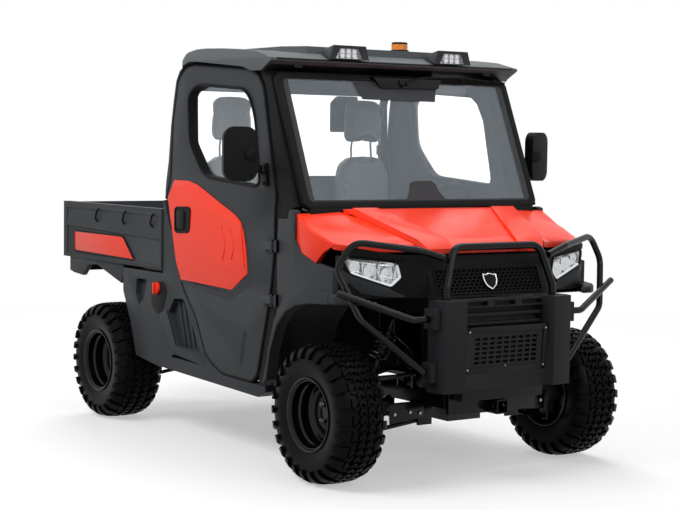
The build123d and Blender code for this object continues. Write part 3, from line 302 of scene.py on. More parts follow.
window_glass = window_pane()
lamp_lens = clear_sheet("clear_polycarbonate_lens", "#E6EBEE", 0.18, 0.03)
amber_lens = clear_sheet("amber_polycarbonate_lens", "#F08A12", 0.85, 0.12, streak_mm=20)
red_lens = clear_sheet("red_polycarbonate_lens", "#A30A10", 0.92, 0.10, streak_mm=12)


def glowing_led(name, colour, strength):
    """A diffuser over light-emitting diodes, brighter towards its middle in 6 mm cells."""
    material = blank_material(name)
    place = object_place(material)
    cells = add_node(material, "ShaderNodeTexVoronoi", {"Vector": place, "Scale": per_metre(6)})
    level = add_node(material, "ShaderNodeMapRange", {"Value": cells.outputs["Distance"], "From Max": 0.8,
                                                      "To Min": strength, "To Max": strength * 0.6})
    shader = add_node(material, "ShaderNodeBsdfPrincipled",
                      {"Base Color": linear(colour), "Roughness": 0.35, "Emission Color": linear(colour),
                       "Emission Strength": level.outputs["Result"]})
    return finished(material, shader)


white_led = glowing_led("white_led_diffuser", "#F4F8FA", 0.35)
print("clear parts:", window_glass.name, lamp_lens.name, amber_lens.name, red_lens.name)

# %% [markdown]
# ### Upholstery
#
# The seats are PVC-coated cloth with a fine embossed hide grain and a soft sheen.

# %% Upholstery
def seat_vinyl():
    material = blank_material("grey_embossed_vinyl")
    place = object_place(material)
    hide = add_node(material, "ShaderNodeTexVoronoi", {"Vector": place, "Scale": per_metre(2.6)},
                    feature="DISTANCE_TO_EDGE")
    shade = noise(material, place, 90, 4.0)
    shader = add_node(material, "ShaderNodeBsdfPrincipled",
                      {"Base Color": two_tone(material, shade.outputs["Fac"], "#5B6064", "#63686C"),
                       "Roughness": 0.50, "Sheen Weight": 0.15,
                       "Normal": bumped(material, hide.outputs["Distance"], 0.35, 0.4)})
    return finished(material, shader)


vinyl = seat_vinyl()
print("soft finish:", vinyl.name)

# %% [markdown]
# ### A material for every node of the frame
#
# The frame's nodes come in with plain colours. Each is given its finish by name, so that what stays
# visible of the frame looks like the real part.

# %% Dress the frame
finish_of_node = {
    grey_panel: ["rear_pillars", "rear_wall", "front_cowls", "side_panels", "bed_tray", "tailgate",
                 "mudguards", "door_shell_left", "door_shell_right"],
    roof_grey: ["roof_panel"],
    bumper_black: ["bumper"],
    black_trim: ["cab_tub", "cowl_panel", "front_pillars", "windshield_frame", "dash", "wheel_liners",
                 "front_fascia", "grilles", "steering_wheel", "mirror_left", "mirror_right", "roof_lamps"],
    red_panel: ["hood", "red_fenders", "fuel_cap", "bed_badges", "door_cover_left", "door_cover_right"],
    powder_coat: ["frame_rails", "frame_brackets", "receivers", "suspension_arms", "shocks", "door_hinges",
                  "roof_rails", "brush_guard", "lift_barrel"],
    cast_iron: ["engine_block", "drive_axles", "rear_knuckles", "knuckle_left", "knuckle_right"],
    chrome: ["lift_rod"],
    wheel_enamel: ["rim_front_left", "rim_front_right", "rim_rear_left", "rim_rear_right"],
    rubber: ["tyre_front_left", "tyre_front_right", "tyre_rear_left", "tyre_rear_right"],
    window_glass: ["cab_glass", "door_glass_left", "door_glass_right"],
    lamp_lens: ["headlamps"],
    amber_lens: ["beacon"],
    red_lens: ["tail_lamps"],
    vinyl: ["seat_cushions", "seat_backs"],
}
for finish, names in finish_of_node.items():
    for name in names:
        slots = frame["nodes"][name].data.materials
        slots.clear()
        slots.append(finish)
dressed = {name for names in finish_of_node.values() for name in names}
print("nodes with no finish:", sorted(set(frame["nodes"]) - dressed))

# %% [markdown]
# ## Working helpers
#
# Pieces are modelled as by hand: a primitive at its size and place, then edit-mode operators, then
# modifiers that are applied. An operator acts on all that is selected, and the frame's nodes start
# selected, so each helper clears the selection first. Every piece ends with its place in its mesh.

# %% Selection, joining and finishing
def deselect_all():
    for thing in bpy.context.selected_objects:
        thing.select_set(False)


def select_only(*things):
    deselect_all()
    for thing in things:
        thing.select_set(True)
    bpy.context.view_layer.objects.active = things[0]


def in_edit_mode(piece, *steps):
    """Runs edit-mode steps on the whole of a piece's mesh."""
    select_only(piece)
    bpy.ops.object.mode_set(mode="EDIT")
    bpy.ops.mesh.select_all(action="SELECT")
    for step in steps:
        step()
    bpy.ops.object.mode_set(mode="OBJECT")


def face_outwards(piece):
    in_edit_mode(piece, lambda: bpy.ops.mesh.remove_doubles(threshold=0.00005),
                 lambda: bpy.ops.mesh.normals_make_consistent(inside=False))


def joined(name, pieces):
    """Several meshes as one piece."""
    select_only(*pieces)
    bpy.ops.object.join()
    piece = bpy.context.active_object
    piece.name = name
    return piece


def copied(piece, matrix, name="copy"):
    """A copy with its own mesh, moved by a matrix; one that mirrors gets its faces turned back."""
    mesh = piece.data.copy()
    mesh.transform(matrix)
    if matrix.determinant() < 0:
        mesh.flip_normals()
    twin = bpy.data.objects.new(name, mesh)
    bpy.context.scene.collection.objects.link(twin)
    return twin


def apply_modifier(piece, kind, **settings):
    modifier = piece.modifiers.new(kind.lower(), kind)
    for name, value in settings.items():
        setattr(modifier, name, value)
    select_only(piece)
    bpy.ops.object.modifier_apply(modifier=modifier.name)


def rounded(piece, width, segments=2, corner=30):
    """Rolls a piece's sharp edges and shades the rest smooth."""
    apply_modifier(piece, "BEVEL", width=width, segments=segments, limit_method="ANGLE",
                   angle_limit=math.radians(corner), use_clamp_overlap=True, harden_normals=False)
    select_only(piece)
    bpy.ops.object.shade_smooth_by_angle(angle=math.radians(corner))
    return piece


def shown(piece, name, finish, body, slot, *replaced):
    """Gives a finished piece its name, material and body, and hides the nodes it replaces; the slot is not
    used.
    """
    piece.name = name
    piece.data.materials.clear()
    piece.data.materials.append(finish)
    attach(piece, body)
    if replaced:
        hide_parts(*replaced)
    return piece


mirror_x = Matrix.Scale(-1, 4, (1, 0, 0))


# %% Primitives at their size and place
def block(low, high, turn=(0, 0, 0)):
    """A cube primitive between two corners, turned about its own middle."""
    deselect_all()
    middle = [(a + b) / 2 for a, b in zip(low, high)]
    bpy.ops.mesh.primitive_cube_add(size=1, location=middle, rotation=turn)
    piece = bpy.context.active_object
    piece.scale = [abs(b - a) for a, b in zip(low, high)]
    bpy.ops.object.transform_apply(location=True, rotation=True, scale=True)
    return piece


def rod(start, end, radius, sides=16, end_radius=None):
    """A round bar between two points, tapered if it has another end radius."""
    deselect_all()
    start, end = Vector(start), Vector(end)
    turn = (end - start).to_track_quat("Z", "Y").to_euler()
    bpy.ops.mesh.primitive_cone_add(vertices=sides, radius1=radius,
                                    radius2=radius if end_radius is None else end_radius,
                                    depth=(end - start).length, location=(start + end) / 2, rotation=turn)
    bpy.ops.object.transform_apply(location=True, rotation=True, scale=True)
    return bpy.context.active_object


def plate(outline, across, low, high):
    """An outline of corners, extruded along one axis ("X", "Y" or "Z") from low to high."""
    deselect_all()
    bpy.ops.mesh.primitive_circle_add(vertices=len(outline), fill_type="NGON")
    piece = bpy.context.active_object
    place = {"X": lambda a, b: (low, a, b), "Y": lambda a, b: (a, low, b),
             "Z": lambda a, b: (a, b, low)}[across]
    for corner, (a, b) in zip(piece.data.vertices, outline):
        corner.co = place(a, b)
    step = {"X": (high - low, 0, 0), "Y": (0, high - low, 0), "Z": (0, 0, high - low)}[across]
    bpy.ops.object.transform_apply(location=True, rotation=True, scale=True)
    in_edit_mode(piece,
                 lambda: bpy.ops.mesh.extrude_region_move(TRANSFORM_OT_translate={"value": step}),
                 lambda: bpy.ops.mesh.select_all(action="SELECT"),
                 lambda: bpy.ops.mesh.normals_make_consistent(inside=False))
    return piece


def spun(section, centre, steps):
    """A closed (sideways, radius) section, spun about an axle that runs along X through a centre."""
    deselect_all()
    bpy.ops.mesh.primitive_circle_add(vertices=len(section), fill_type="NOTHING")
    piece = bpy.context.active_object
    for corner, (sideways, radius) in zip(piece.data.vertices, section):
        corner.co = (centre[0] + sideways, centre[1], centre[2] + radius)
    in_edit_mode(piece,
                 lambda: bpy.ops.mesh.spin(steps=steps, angle=2 * math.pi, center=centre, axis=(1, 0, 0)),
                 lambda: bpy.ops.mesh.select_all(action="SELECT"))
    face_outwards(piece)
    return piece


def corner_curve(start, corner, end, steps):
    """Places along the curve that leaves start towards a corner and arrives at end."""
    shares = [step / steps for step in range(steps + 1)]
    return [start * (1 - t) ** 2 + corner * (2 * t * (1 - t)) + end * t ** 2 for t in shares]


def closed(points):
    """A line of places that comes back to its first."""
    return points + points[:1]


def tube(points, radius, bend=None, sides=14, resolution=6):
    """A bent round tube: a poly curve with its corners turned into arcs, given a round bevel."""
    points = [Vector(p) for p in points]
    path = [points[0]]
    for before, corner, after in zip(points, points[1:], points[2:]):
        into, out = (corner - before).normalized(), (after - corner).normalized()
        turn = into.angle(out)
        room = min((corner - before).length, (after - corner).length) * 0.48
        reach = min((bend or radius * 3) * math.tan(turn / 2), room)
        path += corner_curve(corner - into * reach, corner, corner + out * reach, resolution)
    path.append(points[-1])
    curve = bpy.data.curves.new("path", "CURVE")
    curve.dimensions = "3D"
    line = curve.splines.new("POLY")
    line.points.add(len(path) - 1)
    for knot, place in zip(line.points, path):
        knot.co = (*place, 1.0)
    curve.bevel_depth = radius
    curve.bevel_resolution = sides // 2 - 2
    curve.use_fill_caps = True
    holder = bpy.data.objects.new("path", curve)
    bpy.context.scene.collection.objects.link(holder)
    select_only(holder)
    bpy.ops.object.convert(target="MESH")
    piece = bpy.context.active_object
    face_outwards(piece)
    select_only(piece)
    bpy.ops.object.shade_smooth_by_angle(angle=math.radians(40))
    return piece


def bolt_head(place, facing, radius, height):
    """A hexagon head with a rolled edge, on a surface that faces that way."""
    place, facing = Vector(place), Vector(facing).normalized()
    head = rod(place - facing * 0.001, place + facing * height, radius, sides=6)
    return rounded(head, radius * 0.15, segments=1)


print("helpers ready")

# %% [markdown]
# ## Tyres
#
# An all-terrain tyre: a carcass spun from one section, and a directional tread. The tread could be
# a displaced texture, but its blocks show in outline, so they are modelled: each block is a small
# grid laid on the carcass, thickened along its normals, and its outline drawn in a little at the
# top as a mould's draft needs. One pitch of blocks is copied round the tyre 26 times.

# %% Carcass and tread
tread_pitches = 26
lug_height = 0.013           # metres
lug_sink = 0.003             # how far a block's foot goes into the carcass
lug_draft = 0.90             # a block's top as a share of its foot
tread_radius = 0.310
bead_radius = 0.1527
front_tyre_width, rear_tyre_width = 0.254, 0.272
front_plane_x, rear_plane_x = 0.679, 0.670       # from the vehicle's middle to a wheel's centre plane


def carcass_half_section(width):
    """Half of the tyre's outside, from the tread's middle to the bead, as (sideways, radius)."""
    half, rise = width / 2 - 0.011, tread_radius - lug_height - bead_radius
    shape = [(0.0, 1.0), (0.30, 0.995), (0.55, 0.98), (0.74, 0.945), (0.87, 0.885), (0.95, 0.79),
             (0.995, 0.64), (1.0, 0.48), (0.97, 0.30), (0.91, 0.15), (0.90, 0.06), (0.86, 0.02), (0.82, 0.0)]
    return [(half * out, bead_radius + rise * up) for out, up in shape]


def along_section(section, distance):
    """The (sideways, radius) place that lies a distance along the half section from its middle."""
    left = abs(distance)
    for (x0, r0), (x1, r1) in zip(section, section[1:]):
        length = math.hypot(x1 - x0, r1 - r0)
        if left <= length:
            share = left / length
            return math.copysign(x0 + share * (x1 - x0), distance), r0 + share * (r1 - r0)
        left -= length
    raise ValueError("past the bead")


def tread_block(section, stations):
    """A block over stations of (distance across, low, high) round the tyre, in millimetres."""
    deselect_all()
    bpy.ops.mesh.primitive_grid_add(x_subdivisions=len(stations) - 1, y_subdivisions=1)
    piece = bpy.context.active_object
    count = len(piece.data.vertices)
    columns = sorted({round(v.co.x, 5) for v in piece.data.vertices})
    for corner in piece.data.vertices:
        across, low, high = stations[columns.index(round(corner.co.x, 5))]
        sideways, radius = along_section(section, across / 1000)
        angle = (high if corner.co.y > 0 else low) / 1000 / tread_radius
        corner.co = (sideways, -math.sin(angle) * radius, math.cos(angle) * radius)
    face = piece.data.polygons[0]
    if face.normal.dot(Vector((0, face.center.y, face.center.z))) < 0:
        in_edit_mode(piece, lambda: bpy.ops.mesh.flip_normals())
    apply_modifier(piece, "SOLIDIFY", thickness=lug_height + lug_sink, offset=1.0)
    top = piece.data.vertices[count:]
    middle = sum((v.co for v in top), Vector()) / count
    for corner in top:
        corner.co = middle + (corner.co - middle) * lug_draft
    for corner in piece.data.vertices:
        inwards = Vector((0, corner.co.y, corner.co.z)).normalized() * lug_sink
        corner.co -= inwards
    return piece


# Stations of (distance across, low, high) for one pitch of the right half, in millimetres
shoulder_block = [(76, -6, 34), (92, -2, 40), (107, 2, 42), (122, 5, 40), (140, 9, 36)]
outer_triangle = [(45, 18, 24), (57, 8, 36), (71, -4, 46)]
inner_triangle = [(47, 34, 60), (58, 44, 56), (70, 51, 54)]
chevrons = [[(3, 20, 42), (20, 2, 24), (39, 18, 40)], [(3, 57, 79), (20, 39, 61), (39, 55, 77)]]
chevron_reach = 42


def extra_half_width(width):
    """How much further out, in millimetres, the side of a wider tyre is than the front tyre's."""
    return (width - front_tyre_width) * 500


def half_pitch(section, width):
    """The blocks of one pitch, from the tread's middle to one shoulder."""
    wider = extra_half_width(width)
    tables = [shoulder_block, outer_triangle, inner_triangle, *chevrons]
    moved = [[(across + (wider if across > chevron_reach else wider / 2), low, high)
              for across, low, high in table]
             for table in tables]
    return joined("half_pitch", [tread_block(section, table) for table in moved])


def tyre_mesh(width):
    """A whole left-hand tyre about the origin, with its axle along X."""
    section = carcass_half_section(width)
    inside = [(x * 0.9, r - 0.012) for x, r in section[3:8]]
    outline = section[::-1][:-1] + [(0.0, section[0][1])] + [(-x, r) for x, r in section[1:]]
    outline += [(-x, r) for x, r in reversed(inside)] + [(0.0, section[0][1] - 0.014)] + inside
    carcass = spun(outline, (0, 0, 0), 104)
    near = half_pitch(section, width)
    far = copied(near, Matrix.Rotation(math.pi / tread_pitches, 4, "X") @ mirror_x)
    rounded(near, 0.0012, segments=1)
    rounded(far, 0.0012, segments=1)
    blocks = []
    for pitch in range(tread_pitches):
        turn = Matrix.Rotation(2 * math.pi * pitch / tread_pitches, 4, "X")
        blocks += [copied(near, turn), copied(far, turn)]
    for spare in (near, far):
        bpy.data.objects.remove(spare)
    select_only(carcass)
    bpy.ops.object.shade_smooth_by_angle(angle=math.radians(35))
    return joined("tyre", [carcass, *blocks])


axle_height = 0.310
front_axle_y, rear_axle_y = [(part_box(tyre)[0][1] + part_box(tyre)[1][1]) / 2
                             for tyre in ("tyre_front_left", "tyre_rear_left")]
# (end, centre plane's distance from the vehicle's middle, axle's place along it, tyre's width)
wheels = [("front", front_plane_x, front_axle_y, front_tyre_width),
          ("rear", rear_plane_x, rear_axle_y, rear_tyre_width)]
for end, sideways, along, width in wheels:
    pattern = tyre_mesh(width)
    for side, sense in (("left", 1), ("right", -1)):
        place = Matrix.Translation((sense * sideways, along, axle_height))
        tyre = copied(pattern, place if sense > 0 else place @ mirror_x)
        shown(tyre, f"tyre_with_tread_{end}_{side}", rubber, f"wheel_{end}_{side}", "tyre",
              f"tyre_{end}_{side}")
    bpy.data.objects.remove(pattern)
    print(end, "tyre:", len(tyre.data.polygons), "faces")

# %% [markdown]
# ## Steel wheels
#
# Deep-dish wheels pressed from sheet: a stepped barrel with a rolled flange at each side, and a
# dished disc welded deep inside it, held by four nuts. Both are bodies of revolution, so each is one
# closed section, spun. Nuts and the hub's dust cap are primitives with their edges rolled.

# %% Wheels
# (sideways, radius) of the barrel and of the disc's outer face, in millimetres
barrel_section = [(110, 164), (110, 159), (104, 154), (97, 152), (97, 147.5), (88, 146), (62, 144.5),
                  (54, 136), (-54, 136), (-62, 144.5), (-104, 147), (-110, 159), (-110, 164),
                  (-106, 164.5), (-104, 158), (-100, 152), (-66, 151), (-56, 141), (56, 141), (66, 151),
                  (100, 152), (104, 158), (106, 164.5)]
disc_face = [(16, 136.5), (16, 131), (0, 122), (-6, 104), (4, 90), (4, 74), (-4, 64), (-4, 33)]
disc_thickness_mm = 5
nut_circle, nut_count = 0.050, 4


def wheel_mesh(width):
    """A left-hand wheel about the origin, with its axle along X; the barrel widens with the tyre."""
    wider = extra_half_width(width)
    barrel = spun([((x + math.copysign(wider, x)) / 1000, r / 1000) for x, r in barrel_section],
                  (0, 0, 0), 72)
    dish = disc_face + [(x - disc_thickness_mm, r) for x, r in reversed(disc_face)]
    shift = (front_plane_x - rear_plane_x) * 500 if width > front_tyre_width else 0.0
    disc = spun([((x + shift) / 1000, r / 1000) for x, r in dish], (0, 0, 0), 72)
    drum = rod((-0.046, 0, 0), (-0.008, 0, 0), 0.110, sides=48)
    drum = rounded(drum, 0.006)
    cap = rounded(rod((-0.010, 0, 0), (0.022, 0, 0), 0.0325, sides=32), 0.005, segments=3)
    hub = rounded(rod((-0.009, 0, 0), (0.003, 0, 0), 0.046, sides=32), 0.002)
    parts = [rounded(barrel, 0.0016), rounded(disc, 0.002), drum, cap, hub]
    nuts = []
    for number in range(nut_count):
        angle = 2 * math.pi * (number + 0.5) / nut_count
        place = (-0.005, math.cos(angle) * nut_circle, math.sin(angle) * nut_circle)
        nuts.append(bolt_head(place, (1, 0, 0), 0.0125, 0.016))
        stud = (place[0] + 0.016, place[1], place[2])
        stud_end = (stud[0] + 0.008, stud[1], stud[2])
        nuts.append(rounded(rod(stud, stud_end, 0.006, sides=12), 0.001, segments=1))
    return joined("wheel", parts), joined("nuts", nuts)


for end, sideways, along, width in wheels:
    steel, nuts = wheel_mesh(width)
    for side, sense in (("left", 1), ("right", -1)):
        place = Matrix.Translation((sense * sideways, along, axle_height))
        turn = place if sense > 0 else place @ mirror_x
        shown(copied(steel, turn), f"steel_wheel_{end}_{side}", wheel_enamel, f"wheel_{end}_{side}",
              "wheel_steel", f"rim_{end}_{side}")
        shown(copied(nuts, turn), f"wheel_nuts_{end}_{side}", zinc, f"wheel_{end}_{side}", "chrome_rod")
    for spare in (steel, nuts):
        bpy.data.objects.remove(spare)
print("wheels done")

# %% [markdown]
# ## Panels with rolled edges
#
# Moulded and pressed panels never end in a sharp edge: the tool's corner is a small radius, and that
# radius is what catches the light. Bevelling the frame's own meshes isn't allowed, so each panel is
# copied, its loose triangles are merged and dissolved back into flat faces, and the copy's edges are
# rolled. The copy then stands for the frame's node.

# %% Roll the panels' edges
def rolled_panel(node, width, corner=28, segments=3):
    """A copy of a node of the frame with its edges rolled by a bevel."""
    panel = copied(frame["nodes"][node], Matrix.Identity(4))
    face_outwards(panel)
    in_edit_mode(panel, lambda: bpy.ops.mesh.dissolve_limited(angle_limit=math.radians(1.0)))
    return rounded(panel, width, segments=segments, corner=corner)


bodies = frame["record"]["behaviour"]["bodies"]
body_of_node = {name: body for body, names in bodies.items() for name in names}
slot_of_node = {row["node"]: row["material_slot"] for row in frame["record"]["subparts"]}
finish_by_node = {name: finish for finish, names in finish_of_node.items() for name in names}

# (node, radius of its edges in millimetres)
rolled_nodes = [
    ("hood", 5), ("red_fenders", 6), ("front_cowls", 5), ("front_fascia", 5), ("bumper", 6),
    ("side_panels", 8), ("door_shell_left", 7), ("door_shell_right", 7), ("door_cover_left", 3),
    ("door_cover_right", 3), ("roof_panel", 8), ("rear_wall", 5), ("rear_pillars", 6), ("front_pillars", 5),
    ("windshield_frame", 4), ("cowl_panel", 2), ("bed_tray", 5), ("tailgate", 5), ("bed_badges", 2),
    ("mudguards", 5), ("wheel_liners", 2), ("cab_tub", 8), ("mirror_left", 4), ("mirror_right", 4),
    ("tail_lamps", 3), ("engine_block", 10), ("drive_axles", 5), ("rear_knuckles", 3), ("knuckle_left", 3),
    ("knuckle_right", 3),
    ("frame_rails", 3), ("frame_brackets", 2), ("receivers", 2),
]
for node, radius_mm in rolled_nodes:
    panel = rolled_panel(node, radius_mm / 1000)
    shown(panel, f"{node}_panel", finish_by_node[node], body_of_node[node], slot_of_node[node], node)
print("panels with rolled edges:", len(rolled_nodes))

# %% [markdown]
# ## Places in millimetres
#
# Most pieces are placed as the solids are: across the vehicle, behind the front axle, and above the
# ground, in millimetres. One function turns such a place into the frame's metres.

# %% Millimetre places
def at(x, behind, z):
    """Millimetres across, behind the front axle and up, as a place in metres."""
    return Vector((x / 1000, front_axle_y + behind / 1000, z / 1000))


def behind(value):
    return front_axle_y + value / 1000


def both_sides(piece):
    """A piece on the vehicle's left and a copy of it on the right, as one piece."""
    return joined("both_sides", [piece, copied(piece, mirror_x)])


def shown_on_doors(piece, name, finish, slot, *replaced):
    """Shows a piece on the left door and a mirrored copy on the right one."""
    for side, panel in (("left", piece), ("right", copied(piece, mirror_x))):
        shown(panel, f"{name}_{side}", finish, f"door_{side}", slot, *[f"{node}_{side}" for node in replaced])


def interpolated(stations, place):
    """The value at a place along rising (place, value) stations, which go on straight past their ends."""
    for (low, first), (high, last) in zip(stations, stations[1:]):
        if place <= high:
            break
    return first + (last - first) * (place - low) / (high - low)


door_lean = [(0.900, 0.725), (1.250, 0.716), (1.900, 0.696)]      # (height, distance from the middle)


def side_x(z):
    """The door's outer face at a height: it leans in a little above 0.9 m, and more above the belt."""
    return interpolated(door_lean, max(z, door_lean[0][0]))


def eased(points, radius, steps=4):
    """A closed outline of pairs with its corners turned into curves."""
    line = []
    for before, corner, after in zip(points[-1:] + points[:-1], points, points[1:] + points[:1]):
        before, corner, after = Vector(before), Vector(corner), Vector(after)
        reach = min(radius, (corner - before).length * 0.45, (after - corner).length * 0.45)
        start = corner + (before - corner).normalized() * reach
        end = corner + (after - corner).normalized() * reach
        line += corner_curve(start, corner, end, steps)
    return line


def fore(points):
    """(behind the front axle, height) pairs in millimetres, as (y, z) in metres."""
    return [(behind(y), z / 1000) for y, z in points]


def surface(name, faces):
    """A mesh of flat faces, each a list of places, with shared corners merged."""
    mesh = bpy.data.meshes.new(name)
    corners = [place for face in faces for place in face]
    starts = [sum(len(face) for face in faces[:count]) for count in range(len(faces))]
    mesh.from_pydata([tuple(place) for place in corners], [],
                     [list(range(start, start + len(face))) for start, face in zip(starts, faces)])
    piece = bpy.data.objects.new(name, mesh)
    bpy.context.scene.collection.objects.link(piece)
    face_outwards(piece)
    return piece


def sheet(name, faces, thickness, offset=0):
    """A surface with a thickness: to both sides of it, or all behind it with an offset of -1."""
    piece = surface(name, faces)
    apply_modifier(piece, "SOLIDIFY", thickness=thickness, offset=offset)
    return piece


def band(outline, low_x, high_x, thickness):
    """A closed side-view outline as a lining: pushed through along X, and thickened inwards."""
    count = len(outline)
    ring = [[Vector((x, y, z)) for y, z in outline] for x in (low_x, high_x)]
    faces = [[ring[0][step], ring[0][(step + 1) % count], ring[1][(step + 1) % count], ring[1][step]]
             for step in range(count)]
    piece = surface("band", faces)
    apply_modifier(piece, "SOLIDIFY", thickness=thickness, offset=0.0)
    face_outwards(piece)
    return piece


# %% [markdown]
# ## Doors
#
# Each door has a rubber seal round its edge, a lined window, and a painted cover whose face is folded:
# it slopes in towards its top and its bottom, and two shallow grooves run down it. A black pull is let
# in near its rear edge. The cover sits on a moulded lip that shows below it.

# %% Door seals, window lining and cover
door_outline = fore([(1424, 1207), (1382, 1310), (1381, 1593), (1341, 1799), (1269, 1856), (1182, 1868),
                     (668, 1832), (591, 1811), (538, 1750), (395, 1250), (402, 1180), (392, 1023),
                     (412, 860), (430, 772), (478, 600), (528, 420), (572, 382), (844, 386), (938, 423),
                     (1003, 462), (1102, 634), (1213, 748), (1255, 806), (1309, 952), (1337, 1031),
                     (1386, 1110)])
window_outline = fore([(1140, 1773), (699, 1743), (643, 1704), (594, 1617), (527, 1288), (1050, 1325),
                       (1207, 1489), (1228, 1723)])


def leaning(y, z, proud=0.0):
    """A place on the left door's face, proud of it by so much."""
    return Vector((side_x(z) + proud, y, z))


def loop_tube(line, radius):
    """A thin closed tube round an outline that is already eased."""
    return tube(closed(line), radius, bend=0.01, sides=8, resolution=1)


window_line = eased(window_outline, 0.060, 6)
door_trim = joined("door_trim", [
    loop_tube([leaning(y, z, -0.006) for y, z in eased(door_outline, 0.030)], 0.0075),
    band(eased(window_outline, 0.055, 6), 0.668, 0.712, 0.010),
    loop_tube([leaning(y, z, 0.001) for y, z in window_line], 0.007)])
shown_on_doors(door_trim, "door_seals", seal_rubber, "black_trim")
print("door seals made")

# %% Folded door cover with its pull
# (behind the front axle, height, proud of the door in millimetres)
cover_folds = {
    "top": [(1336, 1300, 5), (1196, 1296, 5), (1106, 1279, 5), (741, 1148, 5), (687, 1118, 5)],
    "upper": [(1388, 1204, 12), (1089, 1196, 15), (672, 1098, 11)],
    "lower": [(1284, 897, 14), (1084, 899, 16), (634, 915, 12)],
    "bottom": [(1248, 808, 5), (752, 797, 5), (611, 881, 5)],
}


def cover_place(y, z, proud):
    return leaning(behind(y), z / 1000, proud / 1000)


top, upper, lower, bottom = [[cover_place(*place) for place in cover_folds[name]]
                             for name in ("top", "upper", "lower", "bottom")]
cover_faces = [
    [top[0], top[1], upper[1], upper[0]], [top[1], top[2], upper[1]], [top[2], top[3], upper[2], upper[1]],
    [top[3], top[4], upper[2]], [upper[0], upper[1], lower[1], lower[0]],
    [upper[1], upper[2], lower[2], lower[1]], [lower[0], lower[1], bottom[0]],
    [lower[1], bottom[1], bottom[0]], [lower[1], lower[2], bottom[2], bottom[1]],
]
rim_places = [*top, upper[2], lower[2], *bottom[::-1], lower[0], upper[0]]
rim_back = [leaning(place.y, place.z, 0.0005) for place in rim_places]
for step, (front_place, back_place) in enumerate(zip(rim_places, rim_back)):
    following = (step + 1) % len(rim_places)
    cover_faces.append([front_place, rim_places[following], rim_back[following], back_place])
cover_faces.append(rim_back[::-1])
cover = surface("cover", cover_faces)
apply_modifier(cover, "TRIANGULATE")
in_edit_mode(cover, lambda: bpy.ops.mesh.dissolve_limited(angle_limit=math.radians(0.5)))

def cut_away(piece, cutter):
    """Cuts one piece by another, which is then removed."""
    apply_modifier(piece, "BOOLEAN", operation="DIFFERENCE", object=cutter, solver="EXACT")
    bpy.data.objects.remove(cutter)


# (behind the front axle, low end, high end, how far its middle bows forwards) of each groove
for y, z_low, z_high, sweep in ((826, 930, 1090, 26), (745, 935, 1080, 24)):
    line = [cover_place(y, z_low, 14.5), cover_place(y - sweep, (z_low + z_high) / 2, 15.5),
            cover_place(y + 22, z_high, 15)]
    cut_away(cover, tube(line, 0.007, bend=0.08, sides=8, resolution=4))
pull_outline = eased(fore([(1306, 1164), (1150, 1168), (1156, 1048), (1300, 1042)]), 0.022, 4)
cut_away(cover, plate(pull_outline, "X", 0.7235, 0.760))
rounded(cover, 0.0035, segments=3, corner=9)

pull_ring = loop_tube([leaning(y, z, 0.014) for y, z in pull_outline], 0.006)
pull_back = plate(eased(fore([(1304, 1162), (1152, 1166), (1158, 1050), (1298, 1044)]), 0.020, 4), "X",
                  0.7195, 0.7335)
paddle = plate(eased(fore([(1288, 1152), (1206, 1154), (1208, 1058), (1284, 1056)]), 0.018, 4), "X",
               0.7235, 0.7395)
key_y, key_z = behind(1174), 1.108
key_barrel = rod(leaning(key_y, key_z, -0.002), leaning(key_y, key_z, 0.010), 0.010, 16)
pull = joined("door_pull", [pull_ring, pull_back, rounded(paddle, 0.004)])
shown_on_doors(rounded(pull, 0.0008, corner=40), "door_pull", black_trim, "black_trim")
shown_on_doors(rounded(key_barrel, 0.0015), "door_lock", zinc, "black_trim")
shown_on_doors(cover, "door_cover_folded", red_panel, "red_panel", "door_cover")

# The moulded lip under the cover, and the pressed triangle in the door's lower half
lip_outline = [(1262, 800), (1226, 782), (781, 736), (572, 828), (580, 912), (645, 1060), (668, 1116)]
lip_inner = [(1250, 812), (1222, 806), (790, 776), (622, 866), (636, 912), (672, 1040), (690, 1112)]
sunk, raised = -0.5, 7.0     # millimetres proud of the door at a moulding's foot and at its top
moulding_skin = 0.0015
lip_foot = [cover_place(y, z, sunk) for y, z in lip_outline]
lip_top = [cover_place(y, z, raised) for y, z in lip_inner]
lip_piece = sheet("lip", [[lip_foot[step], lip_foot[step + 1], lip_top[step + 1], lip_top[step]]
                          for step in range(len(lip_foot) - 1)], moulding_skin, -1)
press_foot = [cover_place(y, z, sunk) for y, z in ((1072, 700), (620, 614), (655, 448))]
press_top = [cover_place(1072, 695, 0.3), cover_place(640, 600, raised), cover_place(672, 455, raised)]
press = sheet("press", [[press_foot[0], press_foot[1], press_top[1], press_top[0]],
                        [press_foot[1], press_foot[2], press_top[2], press_top[1]], press_top],
              moulding_skin, -1)
mouldings = joined("door_mouldings", [lip_piece, press])
shown_on_doors(rounded(mouldings, 0.002, corner=12), "door_mouldings", grey_panel, "grey_panel")
print("door covers, pulls and mouldings made")

# %% Mirror mounts
head_x, head_y, head_z = 0.846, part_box("mirror_left")[0][1] + 0.004, 1.441     # where the head meets its arm
screw_circle = 0.024
socket = rod((head_x, head_y - 0.004, head_z), (head_x, head_y + 0.022, head_z), 0.030, 20, 0.022)
ball_joint = rod((head_x, head_y + 0.018, head_z), (head_x - 0.008, head_y + 0.050, head_z - 0.005), 0.017,
                 18, 0.014)
screws = [bolt_head((head_x + math.cos(angle) * screw_circle, head_y + 0.008,
                     head_z + math.sin(angle) * screw_circle), (0, 1, 0), 0.0035, 0.012)
          for angle in (0.5, 2.1, 3.7, 5.3)]
clamp = rod((0.757, behind(486), 1.356), (0.757, behind(486), 1.392), 0.022, 18)
foot_bolts = [bolt_head((side_x(z) + 0.014, behind(474), z), (1, 0, 0), 0.006, 0.006)
              for z in (1.306, 1.384)]
mount = joined("mirror_mount", [rounded(socket, 0.004), rounded(ball_joint, 0.003), rounded(clamp, 0.003)]
               + screws + foot_bolts)
